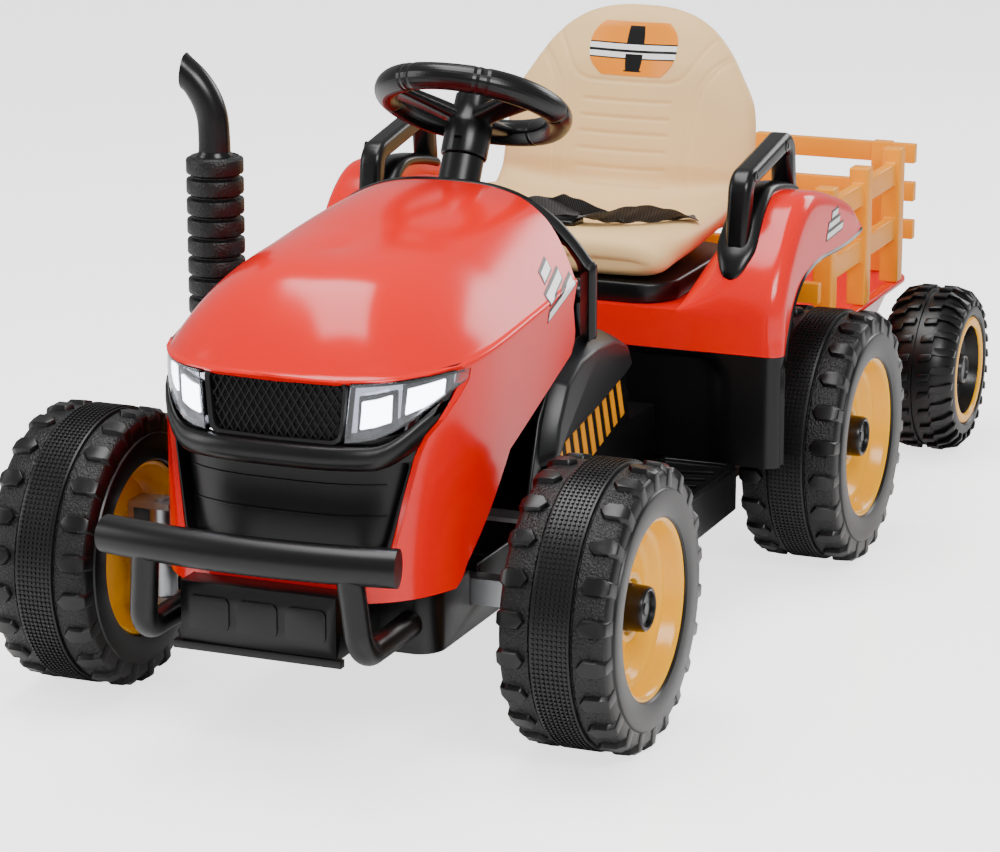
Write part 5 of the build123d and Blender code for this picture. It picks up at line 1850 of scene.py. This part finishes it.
# %% Trailer rim, ring and cap
# ABS from a polished mould: dark grey with a small sharp highlight
looks["cap_grey"] = moulded("abs_satin_cap_grey", "#242527", 0.28, 1.4, 0.02, spread=0.05)
T_FACE = (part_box("trailer_left_rim")[1][0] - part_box("trailer_left_rim")[0][0]) / 2 / MM
trailer_disc = lathe(
    "trailer_disc",
    [
        (T_FACE - 21, 0), (T_FACE - 21, 22), (T_FACE - 16, 24), (T_FACE - 15.5, 28.5), (T_FACE - 19.5, 31),
        (T_FACE - 20.5, 41), (T_FACE - 17, 46), (T_FACE - 8, 49), (T_FACE - 2.5, 50.2), (T_FACE - 2.2, 61.4),
        (-T_FACE + 3, 61.4), (-T_FACE + 2, 57), (-T_FACE + 14, 50), (-T_FACE + 18, 40), (-T_FACE + 18, 0),
    ],
    96,
)
bolts = []
for index in range(8):
    bolt = lathe(f"wheel_bolt_{index}", [(0, 0), (0, 3.4), (2.0, 3.4), (2.9, 2.8), (3.1, 1.4), (3.1, 0)], 6)
    angle = 2 * pi * index / 8
    bolt_spot = Vector((T_FACE - 20.9, 36.2 * sin(angle), 36.2 * cos(angle)))
    bolt.data.transform(Matrix.Translation(bolt_spot * MM))
    bolts.append(bolt)
join(trailer_disc, *bolts)
trailer_ring = lathe(
    "trailer_ring",
    [
        (T_FACE - 6, 50.0), (T_FACE - 1.4, 50.6), (T_FACE + 0.4, 52.4), (T_FACE + 0.9, 55.5), (
            T_FACE + 0.5, 59.0,
        ),
        (T_FACE - 1.0, 61.0), (T_FACE - 6, 61.8),
    ],
    96,
)
trailer_cap = lathe(
    "trailer_cap",
    [
        (T_FACE - 24, 0), (T_FACE - 24, 17.6), (T_FACE - 7, 16.8), (T_FACE - 4.6, 15.4), (T_FACE - 4.2, 13.2),
        (T_FACE - 6.4, 12.2), (T_FACE - 6.4, 0),
    ],
    64,
)
for hand, flip in (("left", 0.0), ("right", pi)):
    spot = Matrix.Translation(wheel_centre[f"trailer_{hand}"]) @ Matrix.Rotation(flip, 4, "Z")
    body = f"trailer_{hand}_wheel"
    tyre = copy_of(trailer_tyre, f"trailer_{hand}_tyre_moulded", spot)
    paint(tyre, "tyre_black")
    place(tyre, body, "tyre_black", f"trailer_{hand}_tyre")
    disc = copy_of(trailer_disc, f"trailer_{hand}_disc", spot)
    paint(disc, "black_grip")
    place(disc, body, "rim_yellow", f"trailer_{hand}_rim")
    for source, name, look in ((trailer_ring, "ring", "rim_yellow"), (trailer_cap, "cap", "cap_grey")):
        piece = copy_of(source, f"trailer_{hand}_{name}", spot)
        paint(piece, look)
        place(piece, body, "rim_yellow")
for source in (trailer_tyre, trailer_disc, trailer_ring, trailer_cap):
    bpy.data.objects.remove(source, do_unlink=True)
print("trailer wheels placed")

# %% [markdown]
# ## Fence and tub
# The fences are square moulded pales and rails, and the tub under them is a red tray. Their
# edges are broken with a small rounded bevel, as a mould leaves them.

# %% Fence, tub and frame
for node, width in (("fence_left", 2.2), ("fence_right", 2.2), ("fence_front", 2.2), ("fence_rear", 2.2)):
    fence = softened(node, f"{node}_moulded", width, 3, 40)
    paint(fence, "fence_yellow")
    place(fence, "trailer", "fence_yellow", node)
tub = softened("trailer_tub", "trailer_tub_moulded", 3.0, 3, 40)
paint(tub, "red_shell")
place(tub, "trailer", "red_shell", "trailer_tub")
for node, width, look, body in (
    ("trailer_frame", 1.0, "black_body", "trailer"), ("hitch_bracket", 1.0, "steel", "chassis"),
    ("skid_plate", 2.0, "black_body", "chassis"), ("seat_base", 3.0, "black_body", "chassis"),
    ("accelerator_pedal", 1.5, "black_grip", "pedal"), ("belt_buckle", 1.5, "black_grip", "chassis"),
):
    piece = softened(node, f"{node}_moulded", width, 2, 35)
    paint(piece, look)
    place(piece, body, look, node)
print("trailer body done")

# %% [markdown]
# ## Printed stripes
# Thin printed film sits on the hood's sides and on the fenders. It carries plain slanted
# bars here. Each bar is a small grid, shrunk on to the shell below it and given a thickness.

# %% Printed bars on the shells
# ink on vinyl film, which follows the shell under it
looks["print_white"] = moulded("vinyl_print_white", "#F4F4F2", 0.3, 2.0, 0.01, spread=0.02)
looks["print_black"] = moulded("vinyl_print_black", "#0A0A0B", 0.3, 2.0, 0.01, spread=0.02)


def printed_bar(name, corners, side, shell, lift):
    """A bar between four corners (y, z), projected sideways on to a shell."""
    rows = []
    for i in range(13):
        low = Vector((0, *corners[0])).lerp(Vector((0, *corners[1])), i / 12)
        high = Vector((0, *corners[3])).lerp(Vector((0, *corners[2])), i / 12)
        rows.append([low.lerp(high, k / 6) + Vector((side * 300, 0, 0)) for k in range(7)])
    bar = shape_grid(name, rows)
    modify(
        bar, "SHRINKWRAP", target=shell, wrap_method="PROJECT", use_project_x=True,
        use_negative_direction=True,
        use_positive_direction=True, offset=lift * MM, wrap_mode="ABOVE_SURFACE",
    )
    wall(bar, 0.3, (side, 0, 0), 40)
    return bar


def bar_corners(y, z, length, height, lean, slope):
    return [
        (y, z), (y + length, z + length * slope), (y + length + lean, z + length * slope + height),
        (y + lean, z + height),
    ]


HOOD_SPOT, FENDER_SPOT = (REAR_Y - 120.0, 350.0), (REAR_AXLE_Y - 14.0, 336.0)
for side, hand in ((1, "left"), (-1, "right")):
    for shell, (y, z), slope, scale, body in (
        (hood, HOOD_SPOT, 0.3, 0.8, "hood"), (rear_shell, FENDER_SPOT, 0.05, 0.62, "fender"),
    ):
        for look, grow, lift in (("print_black", 2.0, 0.35), ("print_white", 0.0, 0.7)):
            bars = []
            for index, (along, up, length) in enumerate(((0, 0, 84), (8, 15, 58), (26, 30, 30))):
                corners = bar_corners(
                    y + along * scale - grow, z + up * scale + along * scale * slope - grow,
                    length * scale + 2 * grow,
                    9.0 * scale + 2 * grow, 5.0 * scale, slope,
                )
                bars.append(printed_bar(f"{body}_{look}_{hand}_{index}", corners, side, shell, lift))
            film = join(*bars)
            film.name = f"{body}_{look}_{hand}"
            paint(film, look)
            place(film, "chassis", "red_shell")
print("printed bars done")
